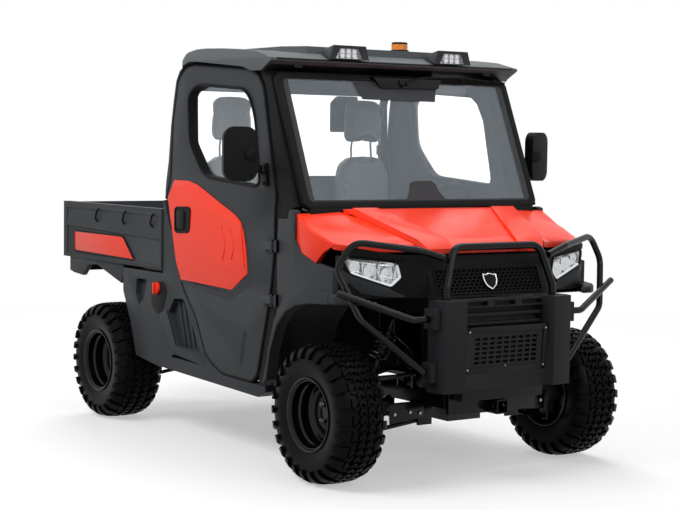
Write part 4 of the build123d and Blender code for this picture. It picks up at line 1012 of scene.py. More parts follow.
shown_on_doors(mount, "mirror_mount", black_trim, "black_trim")
print("mirror mounts made")

# %% [markdown]
# ## Cargo bed
#
# The bed's side is pressed inwards between its rail and its badge, and has three open hooks for lashing.

# %% Bed facets, hooks and badge rims
bed_low, bed_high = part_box("bed_tray")
bed_side_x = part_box("bed_badges")[1][0] - 0.006
facet_top, facet_fold = 1.118, (1.018, 0.992)
bed_front, bed_rear = bed_low[1] + 0.028, bed_high[1] - 0.048
level, fold = bed_side_x + 0.0005, bed_side_x + 0.006     # X of the facet's edges and of its fold
facet_rows = [[Vector((x, bed_rear, rear_z)), Vector((x, bed_front, front_z))]
              for x, rear_z, front_z in ((level, facet_top, facet_top), (fold, *facet_fold),
                                         (level, facet_fold[0] - 0.006, facet_fold[1] - 0.006))]
facet = sheet("facet", [[above[1], above[0], below[0], below[1]]
                        for above, below in zip(facet_rows, facet_rows[1:])], 0.001, -1)
# (proud of the bed's side, how far behind its upper end, height) down one hook
hook_line = [(0.003, 0, 1.122), (0.016, 0, 1.112), (0.018, 14, 1.070), (0.003, 14, 1.052)]
hooks = [tube([(bed_side_x + proud, behind(y + back), z) for proud, back, z in hook_line], 0.0055,
              bend=0.014, sides=10) for y in (2168, 1846, 1534)]
hook_set = joined("hooks", hooks)
shown(both_sides(hook_set), "bed_hooks", black_trim, "bed", "black_trim")
shown(both_sides(facet), "bed_facets", grey_panel, "bed", "grey_panel")
badge_outline = eased([(bed_low[1] + 0.300, 0.871), (bed_low[1] + 0.430, 0.988), (bed_high[1] - 0.140, 0.988),
                       (bed_high[1] - 0.140, 0.878)], 0.02)
badge_rim = loop_tube([(bed_side_x + 0.004, y, z) for y, z in badge_outline], 0.0045)
shown(both_sides(badge_rim), "badge_rims", black_trim, "bed", "black_trim")
print("bed pieces made")

# %% [markdown]
# ## Headlamps
#
# A chrome bowl with two round reflectors and cut facets lies behind each clear lens, with a strip of
# lamps along its lower and inner edges and a black bezel round it. The lamp's face follows the fascia's
# wing, which sweeps back towards the side.

# %% Headlamps
# (across, height) of the lens, going round, and the wing's face in plan as (across, behind the front axle)
lens_outline = [(448, 981), (430, 913), (477, 868), (665, 931), (689, 981), (685, 1006)]
wing_face = [(332, -246), (452, -188), (664, -132), (699, -112)]


def on_wing(x, z, depth=0.0):
    """A place on the wing's swept face, or so far behind it."""
    return at(x, interpolated(wing_face, x) + depth, z)


def shrunk(points, share):
    """An outline drawn in towards its middle."""
    middle_x = sum(x for x, z in points) / len(points)
    middle_z = sum(z for x, z in points) / len(points)
    return [(middle_x + (x - middle_x) * share, middle_z + (z - middle_z) * share) for x, z in points]


def wing_sheet(outline, depth, thickness):
    """A thin sheet with this outline on the wing's swept face, folded where the wing folds."""
    low_x, high_x = min(x for x, z in outline), max(x for x, z in outline)
    sheet = plate([(x / 1000, z / 1000) for x, z in outline], "Y", 0.0, 0.001)
    apply_modifier(sheet, "TRIANGULATE")
    for x in [x for x, y in wing_face if low_x < x < high_x]:
        in_edit_mode(sheet,
                     lambda x=x: bpy.ops.mesh.bisect(plane_co=(x / 1000, 0, 0), plane_no=(1, 0, 0)))
    for corner in sheet.data.vertices:
        front = corner.co.y < 0.0005
        wing_y = interpolated(wing_face, corner.co.x * 1000)
        corner.co.y = behind(wing_y + depth + (0 if front else thickness))
    face_outwards(sheet)
    return sheet


lens = rounded(wing_sheet(eased(lens_outline, 14), 1.5, 3.0), 0.0008)
# Millimetres behind the wing's face: the walls' front edge, the trim's front edge, and the bowl's floor
wall_depth, trim_depth, floor_depth = 6, 8, 36
floor_sheet = wing_sheet(shrunk(lens_outline, 0.98), floor_depth - 2, 4)
walls = sheet("walls", [[on_wing(*here, wall_depth), on_wing(*there, wall_depth),
                         on_wing(*there, floor_depth), on_wing(*here, floor_depth)]
                        for here, there in zip(lens_outline, lens_outline[1:] + lens_outline[:1])],
              0.002, -1)
bowls = []
for x, z, radius in ((492, 921, 33), (566, 941, 33), (636, 962, 26)):     # (across, height, radius)
    centre = on_wing(x, z, 30)
    rings = [rod(centre + Vector((0, 0.004 - 0.007 * step, 0)),
                 centre + Vector((0, -0.003 - 0.007 * step, 0)),
                 (radius - 22 + 8 * step) / 1000, 28, (radius - 14 + 8 * step) / 1000) for step in range(3)]
    bulb = rod(centre + Vector((0, -0.004, 0)), centre + Vector((0, -0.020, 0)), 0.008, 16, 0.004)
    bowls += rings + [bulb]
# Upright fins at (across, low end, high end), and shelves from one (across, height) to another
fins = [block(on_wing(x - 2, low, trim_depth), on_wing(x + 2, high, floor_depth)) for x, low, high in
        ((528, 886, 988), (602, 908, 992), (664, 934, 1000), (454, 890, 976))]
shelves = [sheet("shelf", [[on_wing(x0, z0, trim_depth), on_wing(x1, z1, trim_depth),
                            on_wing(x1, z1 - 5, floor_depth), on_wing(x0, z0 - 5, floor_depth)]], 0.0025)
           for x0, z0, x1, z1 in ((450, 958, 684, 990), (604, 934, 680, 956), (440, 905, 528, 925))]
optics = joined("headlamp_optics", [floor_sheet, walls] + bowls + fins + shelves)
strip_places = [(450, 968), (438, 914), (479, 876), (560, 901), (658, 936)]
strip = tube([on_wing(x, z, 4) for x, z in strip_places], 0.0075, bend=0.012, sides=8)
bezel = loop_tube([on_wing(x, z, -1) for x, z in eased(lens_outline, 14)], 0.0055)
brow_outline = [(440, 994), (448, 988), (685, 1013), (694, 1008), (697, 1030), (664, 1050), (520, 1024),
                (440, 1008)]
brow = wing_sheet(brow_outline, -9, 12)
cheek_outline = [(471, 855), (487, 868), (660, 925), (694, 950), (694, 915), (652, 875), (615, 846),
                 (520, 832), (436, 827), (418, 832)]
cheek = wing_sheet(cheek_outline, -6, 9)

bezel_and_brow = joined("bezel", [bezel, rounded(brow, 0.003)])
rounded(cheek, 0.002)
shown(both_sides(lens), "headlamp_lenses", lamp_lens, "root", "lamp", "headlamps")
shown(rounded(both_sides(optics), 0.0006), "headlamp_optics", reflector, "root", "lamp", "headlamps")
shown(both_sides(strip), "headlamp_strips", white_led, "root", "lamp")
shown(both_sides(bezel_and_brow), "headlamp_bezels", black_trim, "root", "black_trim")
shown(both_sides(cheek), "headlamp_cheeks", grey_panel, "root", "black_trim")
print("headlamps made")

# %% [markdown]
# ## Grilles
#
# The upper grille is a net of stretched hexagons with a bare shield in its middle; the lower one is a
# perforated plate in a bolted frame.

# %% Grilles
def hexagon(centre_x, centre_z, half_x, half_z):
    """A hexagon stretched sideways, as corners going round."""
    return [(centre_x + half_x * math.cos(math.radians(60 * step)),
             centre_z + half_z / math.cos(math.radians(30)) * math.sin(math.radians(60 * step)))
            for step in range(6)]


cell_x, cell_z = 26.0, 14.6          # pitch of one row's cells, and from row to row
cell_rows, cell_reach = 8, 291       # how many rows, and how far out a cell's middle may be
net_depth = 9
grille_top, grille_bottom = (-243, 950), (-291, 838)     # (behind the front axle, height) of the face


def on_grille(x, z, depth=0.0):
    """A place on the upper grille's slanted face."""
    share = (z - grille_bottom[1]) / (grille_top[1] - grille_bottom[1])
    return at(x, grille_bottom[0] + (grille_top[0] - grille_bottom[0]) * share + depth, z)


cells = []
for row in range(cell_rows):
    centre_z = 843 + cell_z * (row + 0.3)
    for column in range(-11, 12):
        centre_x = column * cell_x + cell_x / 2 * (row % 2)
        if abs(centre_x) > cell_reach:
            continue
        outer = [on_grille(x, z) for x, z in hexagon(centre_x, centre_z, cell_x * 0.56, cell_z * 0.60)]
        hole = hexagon(centre_x, centre_z, cell_x * 0.43, cell_z * 0.43)
        inner = [on_grille(x, z) for x, z in hole]
        deep = [on_grille(x, z, net_depth) for x, z in hole]
        for step in range(6):
            following = (step + 1) % 6
            cells.append([outer[step], outer[following], inner[following], inner[step]])
            cells.append([inner[step], inner[following], deep[following], deep[step]])
net = sheet("net", cells, 0.0016)
edge_places = [(-298, 840), (298, 840), (298, 948), (-298, 948)]
net_edge = tube(closed([on_grille(x, z, -1) for x, z in edge_places]), 0.005, bend=0.01, sides=8)
# Painted shade: a flat black sheet behind the net stands for the shade inside the nose, seen through the
# holes.
back_places = [(-299, 839), (299, 839), (299, 949), (-299, 949)]
painted_shade_behind_net = sheet("dark", [[on_grille(x, z, 13) for x, z in back_places]], 0.001)

mesh_low, mesh_high = (-388, 512), (-402, 688)
plate_half, plate_low, plate_high = 224, 510, 690


def on_plate(x, z, depth=0.0):
    """A place on the lower grille's slanted face."""
    share = (z - mesh_low[1]) / (mesh_high[1] - mesh_low[1])
    return at(x, mesh_low[0] + (mesh_high[0] - mesh_low[0]) * share + depth, z)


frame_bars = []
bar_half, bar_depth = 0.013, 0.009
for x0, z0, x1, z1 in ((-plate_half, plate_low, -plate_half, plate_high),
                       (plate_half, plate_low, plate_half, plate_high),
                       (-plate_half, plate_low, plate_half, plate_low),
                       (-plate_half, plate_high, plate_half, plate_high)):
    bar = block((x0 / 1000 - bar_half, 0, z0 / 1000 - bar_half),
                (x1 / 1000 + bar_half, bar_depth, z1 / 1000 + bar_half))
    for corner in bar.data.vertices:
        corner.co.y = on_plate(0, corner.co.z * 1000, -6).y + corner.co.y
    frame_bars.append(bar)
plate_bolts = [bolt_head(on_plate(x, z, -6), (0, -1, 0), 0.0055, 0.004)
               for x in (-plate_half + 6, plate_half - 6) for z in (plate_low + 6, plate_high - 6)]
plate_bolts.append(bolt_head(on_plate(0, plate_low + 14, 0), (0, -1, 0), 0.0045, 0.004))
lower_grille = copied(frame["nodes"]["grilles"], Matrix.Identity(4))
in_edit_mode(lower_grille, lambda: bpy.ops.mesh.remove_doubles(threshold=0.00005),
             lambda: bpy.ops.mesh.bisect(plane_co=(0, 0, 0.760), plane_no=(0, 0, 1), clear_outer=True))
net = rounded(joined("grille_net", [net, net_edge, painted_shade_behind_net]), 0.0004, segments=1)
shown(net, "grille_net", black_trim, "root", "black_trim", "grilles")
rounded(lower_grille, 0.0012, segments=1)
shown(lower_grille, "grille_plate", bumper_black, "root", "black_trim", "grilles")
mesh_frame = rounded(joined("mesh_frame", frame_bars), 0.002)
shown(mesh_frame, "mesh_frame", bumper_black, "root", "grey_panel")
shown(joined("mesh_bolts", plate_bolts), "mesh_bolts", zinc, "root", "black_trim")

# Bare shield in the grille's middle
shield_outline = [(-37, 921), (-20, 918), (0, 924), (20, 918), (37, 921), (36, 893), (26, 873), (0, 855),
                  (-26, 873), (-36, 893)]
shield = sheet("shield", [[on_grille(x, z, -10) for x, z in shield_outline]], 0.009, -1)
shield_rim = tube(closed([on_grille(x, z, -11) for x, z in eased(shield_outline, 6)]), 0.0035, bend=0.004,
                  sides=8, resolution=1)
shown(rounded(shield, 0.0015), "grille_shield", black_trim, "root", "black_trim")
shown(shield_rim, "grille_shield_rim", reflector, "root", "black_trim")
print("grilles made")

# %% [markdown]
# ## Roof
#
# The roof's front face is a black visor that hangs over the windshield. Two hooded work lamps stand
# on it, each with six diodes in a bright dish, and an amber beacon stands behind them on the deck.

# %% Visor, work lamps and beacon
roof_top_z = 1.900           # the cab's top, which drops are measured from
visor_low, visor_high = (507.0, 78.0), (422.5, 18.0)     # (behind the front axle, drop)


def on_visor(x, share, proud=0.0):
    """A place on the roof's slanted front face, from 0 at its lower edge to 1 at its upper edge."""
    y = visor_low[0] + (visor_high[0] - visor_low[0]) * share - proud
    drop = visor_low[1] + (visor_high[1] - visor_low[1]) * share
    return at(x, y, roof_top_z * 1000 - drop)


visor = sheet("visor", [[on_visor(-728, 0), on_visor(728, 0), on_visor(696, 1), on_visor(-696, 1)]],
              0.006, -1)
groove_bars = [tube([on_visor(-660, share, 4), on_visor(660, share, 4)], 0.0022, sides=8)
               for share in (0.30, 0.72)]
clips = [block(on_visor(x - 22, 0.52, 7), on_visor(x + 22, 0.30, 1)) for x in (-560, 560)]
# The wiper motor's housing: four corners towards the front and four behind them
fore_corners = [at(-150, 508, 1824), at(250, 508, 1824), at(240, 470, 1764), at(-104, 470, 1757)]
aft_corners = [at(-150, 430, 1808), at(250, 430, 1808), at(240, 434, 1766), at(-104, 434, 1759)]
housing = surface("housing", [
    fore_corners, aft_corners[::-1], [fore_corners[0], fore_corners[3], aft_corners[3], aft_corners[0]],
    [fore_corners[1], aft_corners[1], aft_corners[2], fore_corners[2]],
    [fore_corners[3], fore_corners[2], aft_corners[2], aft_corners[3]],
    [fore_corners[0], aft_corners[0], aft_corners[1], fore_corners[1]]])
whole_visor = rounded(joined("visor", [visor, housing] + groove_bars + clips), 0.002)
shown(whole_visor, "roof_visor", visor_black, "root", "black_trim")

lamp_centre_x = 306.0
hood_front, hood_back = 408.0, 560.0
# (across, height) round the hood's front and back openings, and the bright dish inside it
hood_outer = [(-112, 1884), (-93, 1950), (93, 1950), (112, 1884)]
hood_inner = [(-76, 1888), (-52, 1938), (52, 1938), (76, 1888)]
hood_rear = [(-60, 1912), (-48, 1936), (48, 1936), (60, 1912)]


def in_opening(centre, depth, share, rise):
    """The hood's opening, so deep in it, drawn in to a share of its size and lifted a little."""
    sill_z = hood_inner[0][1]
    return [at(centre + x * share, hood_front + depth, (z - sill_z) * share + sill_z + rise)
            for x, z in hood_inner]


def lamp_hood(centre):
    """A moulded hood: a front rim, walls that run back to the roof, and the lamp's opening."""
    front = [at(centre + x, hood_front, z) for x, z in hood_outer]
    inner = [at(centre + x, hood_front + 2, z) for x, z in hood_inner]
    deep = in_opening(centre, 30, 0.92, 2)
    rear = [at(centre + x, hood_back, z) for x, z in hood_rear]
    faces = []
    for step in range(4):
        following = (step + 1) % 4
        faces.append([front[step], front[following], inner[following], inner[step]])
        faces.append([inner[step], inner[following], deep[following], deep[step]])
        faces.append([front[step], rear[step], rear[following], front[following]])
    faces.append(rear[::-1])
    faces.append(deep)
    return surface("hood", faces)


diode_pitch_x, diode_pitch_z = 34, 20
hoods, dishes, diodes, lenses = [], [], [], []
for centre in (-lamp_centre_x, lamp_centre_x):
    hoods.append(lamp_hood(centre))
    dish = sheet("dish", [in_opening(centre, 24, 0.90, 2)], 0.003)
    dishes.append(dish)
    for row in range(2):
        for column in (-1, 0, 1):
            spot = at(centre + column * diode_pitch_x, hood_front + 20, 1903 + row * diode_pitch_z)
            dishes.append(rod(spot, spot + Vector((0, -0.010, 0)), 0.006, 16, 0.012))
            diodes.append(rod(spot, spot + Vector((0, -0.004, 0)), 0.0045, 12))
    pane = sheet("pane", [in_opening(centre, 6, 0.98, 1)], 0.002)
    lenses.append(pane)
hood_pair = rounded(joined("hoods", hoods), 0.006, segments=3)
shown(hood_pair, "work_lamp_hoods", grey_panel, "root", "black_trim", "roof_lamps")
all_dishes = rounded(joined("dishes", dishes), 0.0006, segments=1)
shown(all_dishes, "work_lamp_dishes", reflector, "root", "lamp")
shown(joined("diodes", diodes), "work_lamp_diodes", white_led, "root", "lamp")
shown(joined("panes", lenses), "work_lamp_lenses", lamp_lens, "root", "lamp")

beacon_low, beacon_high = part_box("beacon")
beacon_x, beacon_y = (beacon_low[0] + beacon_high[0]) / 2, (beacon_low[1] + beacon_high[1]) / 2


def beacon_part(profile):
    """A (radius, height) profile spun about the beacon's upright axis."""
    piece = spun([(height, radius) for radius, height in profile], (0, 0, 0), 40)
    upright = Matrix.Translation((beacon_x, beacon_y, beacon_low[2])) @ Matrix.Rotation(-math.pi / 2, 4, "Y")
    turned = copied(piece, upright)
    bpy.data.objects.remove(piece)
    return turned


def round_beacon(angle, radius, height):
    """A place round the beacon's axis, so far above its foot."""
    return (beacon_x + math.cos(angle) * radius, beacon_y + math.sin(angle) * radius, beacon_low[2] + height)


base_profile = [(0.004, 0.0), (0.056, 0.0), (0.057, 0.007), (0.050, 0.010), (0.047, 0.020), (0.042, 0.022),
                (0.004, 0.022)]
dome_profile = [(0.004, 0.021), (0.040, 0.021), (0.0395, 0.050), (0.036, 0.053), (0.004, 0.053)]
cap_profile = [(0.004, 0.0525), (0.041, 0.0525), (0.041, 0.058), (0.034, 0.061), (0.004, 0.0615)]
rib_count, rib_circle, foot_circle = 24, 0.0395, 0.056
rib_angles = [2 * math.pi * step / rib_count for step in range(rib_count)]
ribs = [rod(round_beacon(angle, rib_circle, 0.023), round_beacon(angle, rib_circle, 0.050), 0.0016, 6)
        for angle in rib_angles]
foot_half, foot_height = Vector((0.008, 0.008, 0)), Vector((0, 0, 0.011))
feet = []
for angle in (0.6, 2.7, 4.8):
    middle = Vector(round_beacon(angle, foot_circle, 0.0))
    feet.append(rounded(block(middle - foot_half, middle + foot_half + foot_height), 0.002))
beacon_dark = joined("beacon_dark", [beacon_part(base_profile), beacon_part(cap_profile)] + feet)
shown(beacon_dark, "beacon_base", black_trim, "root", "amber", "beacon")
beacon_amber = joined("beacon_amber", [beacon_part(dome_profile)] + ribs)
shown(beacon_amber, "beacon_dome", amber_lens, "root", "amber", "beacon")
print("roof pieces made")

# %% [markdown]
# ## Windshield
#
# The glass carries a printed dark band round its edge, with a bump at its bottom for the sensor and a
# deeper one at its top for the wiper's motor. The wiper is parked along the glass's upper edge.

# %% Windshield print, wiper and mirror
# (behind the front axle, height) of the outer face's lower and upper edge
screen_low, screen_high = (196.0, 1203.0), (464.0, 1822.0)
screen_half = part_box("windshield_frame")[1][0] * 1000 - 34.0
screen_normal = Vector((0, screen_low[1] - screen_high[1], screen_high[0] - screen_low[0])).normalized()


def on_screen(x, z, depth=0.0):
    """A place on the windshield at a height, and so deep behind its outer face."""
    share = (z - screen_low[1]) / (screen_high[1] - screen_low[1])
    face_y = screen_low[0] + (screen_high[0] - screen_low[0]) * share
    return at(x, face_y, z) - screen_normal * (depth / 1000)


def upright_rectangle(low_x, high_x, low_z, high_z):
    return [(low_x, low_z), (high_x, low_z), (high_x, high_z), (low_x, high_z)]


inner_half = screen_half - 28
print_low, print_high = 1240, 1790        # the heights between which the glass is bare
print_depth = 3.6                         # in the middle of the glass's thickness
print_faces = [
    upright_rectangle(-screen_half, screen_half, 1206, print_low),
    [(-104, print_low), (125, print_low), (98, 1272), (86, 1306), (66, 1324), (-44, 1324), (-64, 1310),
     (-76, 1272)],
    upright_rectangle(-screen_half, -inner_half, print_low, print_high),
    upright_rectangle(inner_half, screen_half, print_low, print_high),
    upright_rectangle(-screen_half, screen_half, print_high, 1818),
    [(-225, 1704), (205, 1702), (240, print_high), (-257, print_high)],
]
edge_print = sheet("print", [[on_screen(x, z, print_depth) for x, z in corners]
                             for corners in print_faces], 0.0008)
shown(edge_print, "windshield_print", ceramic_print, "root", "black_trim")

motor = rounded(rod(on_screen(14, 1781, 2), on_screen(14, 1781, -26), 0.022, 20, 0.018), 0.003)
cap = rounded(rod(on_screen(40, 1778, -10), on_screen(40, 1778, -30), 0.012, 16, 0.010), 0.002)
# (places as (across, height, depth), radius, bend, sides) of the arm, blade, bridge and rubber edge
wiper_bars = [
    ([(36, 1780, -24), (150, 1806, -26), (384, 1812, -24)], 0.0055, 0.05, 8),
    ([(100, 1800, -8), (380, 1806, -10), (670, 1804, -8)], 0.005, 0.1, 8),
    ([(190, 1804, -12), (384, 1812, -26), (590, 1806, -12)], 0.004, 0.05, 8),
    ([(100, 1800, -2.5), (380, 1805, -3), (670, 1803, -2.5)], 0.0025, 0.1, 6),
]
bars = [tube([on_screen(*place) for place in places], radius, bend=bend, sides=sides)
        for places, radius, bend, sides in wiper_bars]
knobs = [rod(on_screen(x, 1806, -6), on_screen(x, 1806, -28), 0.007, 12) for x in (190, 384, 590)]
shown(joined("wiper", [motor, cap] + bars + knobs), "wiper", black_trim, "root", "black_trim")

glass_back = on_screen(330, 1772, 22)
mirror_shell = rounded(block(glass_back + Vector((-0.105, 0.0, -0.026)),
                             glass_back + Vector((0.105, 0.022, 0.026))), 0.012, segments=4)
mirror_stalk = tube([on_screen(330, 1800, 12), glass_back + Vector((0, 0.012, 0.02))], 0.006)
mirror_face = rounded(block(glass_back + Vector((-0.098, 0.0215, -0.020)),
                            glass_back + Vector((0.098, 0.0235, 0.020))), 0.0006)
inside_mirror = joined("inside_mirror", [mirror_shell, mirror_stalk])
shown(inside_mirror, "inside_mirror", roof_grey, "root", "black_trim")
shown(mirror_face, "inside_mirror_face", reflector, "root", "glass")
print("windshield pieces made")

# %% [markdown]
# ## Seats
#
# Foam under vinyl: each pad starts as a firm form a little smaller than the real one, is remeshed into
# an even net, and Blender's cloth, blown up from inside, swells it until the cover pulls tight. How
# far a point may move is capped, so the pad keeps its place in the frame. Seams are pressed in after.

# %% Padded seats
seat_centre, cushion_half = 0.385, 0.190
pads_low, pads_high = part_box("seat_cushions")
backs_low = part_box("seat_backs")[0]
cushion_length = 0.445
passenger_shift = pads_high[1] - pads_low[1] - cushion_length      # how much further back the passenger sits
swelling_frames = 20
seam_half_width = 0.006


def swollen(piece, voxel, cap, seams=()):
    """A soft pad: even net, cloth blown up, movement capped, and seams pressed in along planes."""
    piece.data.remesh_voxel_size = voxel
    select_only(piece)
    bpy.ops.object.voxel_remesh()
    start = [corner.co.copy() for corner in piece.data.vertices]
    cloth = piece.modifiers.new("cloth", "CLOTH")
    cloth.settings.use_pressure = True
    cloth.settings.uniform_pressure_force = 4.0
    cloth.settings.effector_weights.gravity = 0.0
    cloth.settings.tension_stiffness = cloth.settings.compression_stiffness = 20.0
    cloth.point_cache.frame_start, cloth.point_cache.frame_end = 1, swelling_frames
    for frame_number in range(1, swelling_frames + 1):
        bpy.context.scene.frame_set(frame_number)
    select_only(piece)
    bpy.ops.object.modifier_apply(modifier=cloth.name)
    bpy.context.scene.frame_set(1)
    for corner, place in zip(piece.data.vertices, start):
        moved = corner.co - place
        if moved.length > cap:
            corner.co = place + moved.normalized() * cap
    for through, normal, depth in seams:
        for corner in piece.data.vertices:
            distance = abs((corner.co - Vector(through)).dot(Vector(normal)))
            inwards = Vector((0, 1, 0)) if abs(normal[2]) > 0.5 or depth < 0 else Vector((0, 0, -1))
            corner.co += inwards * abs(depth) * math.exp(-(distance / seam_half_width) ** 2)
    apply_modifier(piece, "SUBSURF", levels=1, render_levels=1)
    select_only(piece)
    bpy.ops.object.shade_smooth()
    return piece


cushion_y, cushion_z = pads_low[1], pads_low[2]
cushion_back = cushion_y + cushion_length - 0.012
cushion_form = block((seat_centre - cushion_half, cushion_y + 0.016, cushion_z + 0.004),
                     (seat_centre + cushion_half, cushion_back, cushion_z + 0.100))
rounded(cushion_form, 0.038, segments=4)
cushion = swollen(cushion_form, 0.008, 0.022,
                  [((seat_centre + side * 0.105, 0, 0), (1, 0, 0), 0.006) for side in (-1, 1)])

back_outline = [(-0.160, 0.845), (0.160, 0.845), (0.178, 1.12), (0.180, 1.32), (0.158, 1.398), (0.100, 1.440),
                (0.0, 1.450), (-0.100, 1.440), (-0.158, 1.398), (-0.180, 1.32), (-0.178, 1.12)]
back_y = backs_low[1] + 0.012
back_form = plate(eased([(seat_centre + x, z) for x, z in back_outline], 0.03, 3), "Y", back_y,
                  back_y + 0.050)
for corner in back_form.data.vertices:
    corner.co.y += (corner.co.z - 0.84) * 0.030
back_form = rounded(back_form, 0.020, segments=3)
back_pad = swollen(back_form, 0.008, 0.022,
                   [((seat_centre + side * 0.092, 0, 0), (1, 0, 0), -0.005) for side in (-1, 1)]
                   + [((0, 0, 1.10), (0, 0, 1), 0.005)])

rest_y = backs_low[1] + 0.026
rest_outline = [(-0.100, 1.502), (0.100, 1.502), (0.117, 1.54), (0.108, 1.702), (0.076, 1.724),
                (-0.076, 1.724), (-0.108, 1.702), (-0.117, 1.54)]
rest_form = plate(eased([(seat_centre + x, z) for x, z in rest_outline], 0.02, 3), "Y", rest_y,
                  rest_y + 0.052)
rest_pad = swollen(rounded(rest_form, 0.018, segments=3), 0.006, 0.012, [((0, 0, 1.530), (0, 0, 1), 0.002)])
# (distance from the seat's middle, Y, height) down one of the headrest's two posts
post_line = [(0.066, back_y + 0.045, 1.400), (0.064, back_y + 0.052, 1.47), (0.055, rest_y + 0.030, 1.560)]
posts = joined("posts", [tube([(seat_centre + side * x, y, z) for x, y, z in post_line], 0.0055, bend=0.05,
                              sides=10) for side in (-1, 1)])
# The passenger's seat is the driver's, mirrored and moved back
passenger = Matrix.Translation((0, passenger_shift, 0)) @ mirror_x
for name, pad, replaced, fill in (("seat_cushion", cushion, "seat_cushions", 0.8),
                                  ("seat_back", back_pad, "seat_backs", 0.8),
                                  ("headrest", rest_pad, "seat_backs", 0.9)):
    for side, piece in (("right", copied(pad, passenger)), ("left", pad)):
        shown(piece, f"{name}_{side}", vinyl, "root", "seat", replaced)
shown(copied(posts, passenger), "headrest_posts_right", roof_grey, "root", "seat")
shown(posts, "headrest_posts_left", roof_grey, "root", "seat")
print("seats made:", len(cushion.data.polygons), len(back_pad.data.polygons), "faces")

# %% Cab trim
rear_shade_outline = [(0.252, 1.555), (0.252, 1.712), (0.292, 1.748), (0.430, 1.748), (0.430, 1.555)]
glass_low_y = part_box("cab_glass")[1][1] - 0.012
shade = rounded(plate(eased(rear_shade_outline, 0.012), "Y", glass_low_y - 0.012, glass_low_y - 0.002), 0.004)
latches = [rounded(block((0.560, glass_low_y - 0.030, z - 0.028), (0.592, glass_low_y - 0.002, z + 0.028)),
                   0.008, segments=3) for z in (1.462, 1.668)]
window_trim = joined("rear_window_trim", [shade] + latches)
shown(window_trim, "rear_window_trim", roof_grey, "root", "grey_panel")
print("cab trim made")

# %% [markdown]
# ## Nose and underside
#
# The hood's front is pressed a little proud of its middle, which leaves a bent crease across it. Below,
# steel plates guard the front arms, coil springs sit on the shocks, and bright bolts hold the skid.

# %% Hood crease
hood_line = [(-250, 1036), (-206, 1066), (131, 1194)]     # (behind the front axle, height) of the hood's top


def on_hood(x, y, proud):
    """A place on the hood's sloping top, and so far proud of it."""
    return at(x, y, interpolated(hood_line, y) + proud)


def across_hood(*half):
    """Places on the hood's right side and their mirror images, from right to left."""
    return [on_hood(-x, y, proud) for x, y, proud in half] + [on_hood(*place) for place in half[::-1]]


crease = across_hood((262, -2, 1.0), (180, -186, 5.0))
nose_low = across_hood((212, -196, 0.5), (190, -206, 2.0))
front_edge = across_hood((182, -249, -1.5))
crease_back = across_hood((250, 2, -1), (168, -178, -1))
crease_piece = sheet("crease", [
    [crease[1], crease[2], nose_low[2], nose_low[1]], [crease[0], crease[1], nose_low[1], nose_low[0]],
    [crease[2], crease[3], nose_low[3], nose_low[2]],
    [nose_low[1], nose_low[2], front_edge[1], front_edge[0]],
    [crease[0], crease_back[0], crease_back[1], crease[1]],
    [crease[1], crease_back[1], crease_back[2], crease[2]],
    [crease[2], crease_back[2], crease_back[3], crease[3]]], 0.0012, -1)
shown(rounded(crease_piece, 0.0012, corner=8), "hood_crease", red_panel, "hood", "red_panel")

# %% Arm guards, springs and bolts
guard_outline = [(0.262, 0.282), (0.352, 0.268), (0.450, 0.262), (0.456, 0.348), (0.350, 0.352),
                 (0.262, 0.344)]
guard = rounded(plate(guard_outline, "Y", behind(-148), behind(-144)), 0.0012)
flange = rounded(block((0.262, behind(-146), 0.345), (0.452, behind(-118), 0.350)), 0.0012)
shown(both_sides(joined("guard", [guard, flange])), "arm_guards", powder_coat, "root", "black_steel")
bolts = [bolt_head(at(x, -148, z), (0, -1, 0), 0.0085, 0.007)
         for x, z in ((425, 304), (340, 308), (285, 300))]
shown(both_sides(joined("bolts", bolts)), "guard_bolts", zinc, "root", "chrome_rod")


def coil_spring(foot, head, coil_radius, wire_radius, turns):
    """A coil spring between two places, wound at an even pitch from end to end."""
    axis = head - foot
    turn = axis.to_track_quat("Z", "Y").to_matrix()
    steps = turns * 16
    line = []
    for share in [step / steps for step in range(steps + 1)]:
        angle = 2 * math.pi * turns * share
        round_axis = Vector((math.cos(angle) * coil_radius, math.sin(angle) * coil_radius,
                             axis.length * share))
        line.append(foot + turn @ round_axis)
    return tube(line, wire_radius, bend=0.002, sides=8, resolution=1)


springs = [coil_spring(Vector((0.4165, axle_y, 0.535)), Vector((0.3445, axle_y, 0.672)), 0.0385, 0.006, 7)
           for axle_y in (front_axle_y, rear_axle_y)]
shown(both_sides(joined("springs", springs)), "shock_springs", powder_coat, "root", "black_steel")
print("underside pieces made")

# %% [markdown]
# ## Side relief
#
# The lower side is moulded with facets that frame the engine's louvres. The fuel cap, a disc with a bar to
# grip,
# sits in a recess whose shade is painted: a thin black plate covers the recess's outline. The front flare runs
# on as a nose under the headlamp's cheek.

# %% Louvre frames and fuel cap
side_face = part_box("side_panels")[1][0]


def on_side(y, z, proud=0.0):
    """A place on the lower side, in millimetres behind the front axle and up, and so far proud."""
    return Vector((side_face + proud / 1000, behind(y), z / 1000))


frame_outer = [(1491, 612), (1338, 424), (1012, 398), (1000, 446)]
frame_inner = [(1392, 640), (1292, 470), (1040, 452), (1040, 458)]
frame_faces = []
for step in range(3):
    frame_faces.append([on_side(*frame_outer[step], 0.3), on_side(*frame_outer[step + 1], 0.3),
                        on_side(*frame_inner[step + 1], 7.0), on_side(*frame_inner[step], 7.0)])
frame_piece = sheet("frame", frame_faces, 0.0015, -1)
rounded(frame_piece, 0.0006, corner=20)
shown(both_sides(frame_piece), "louvre_frames", grey_panel, "root", "grey_panel")
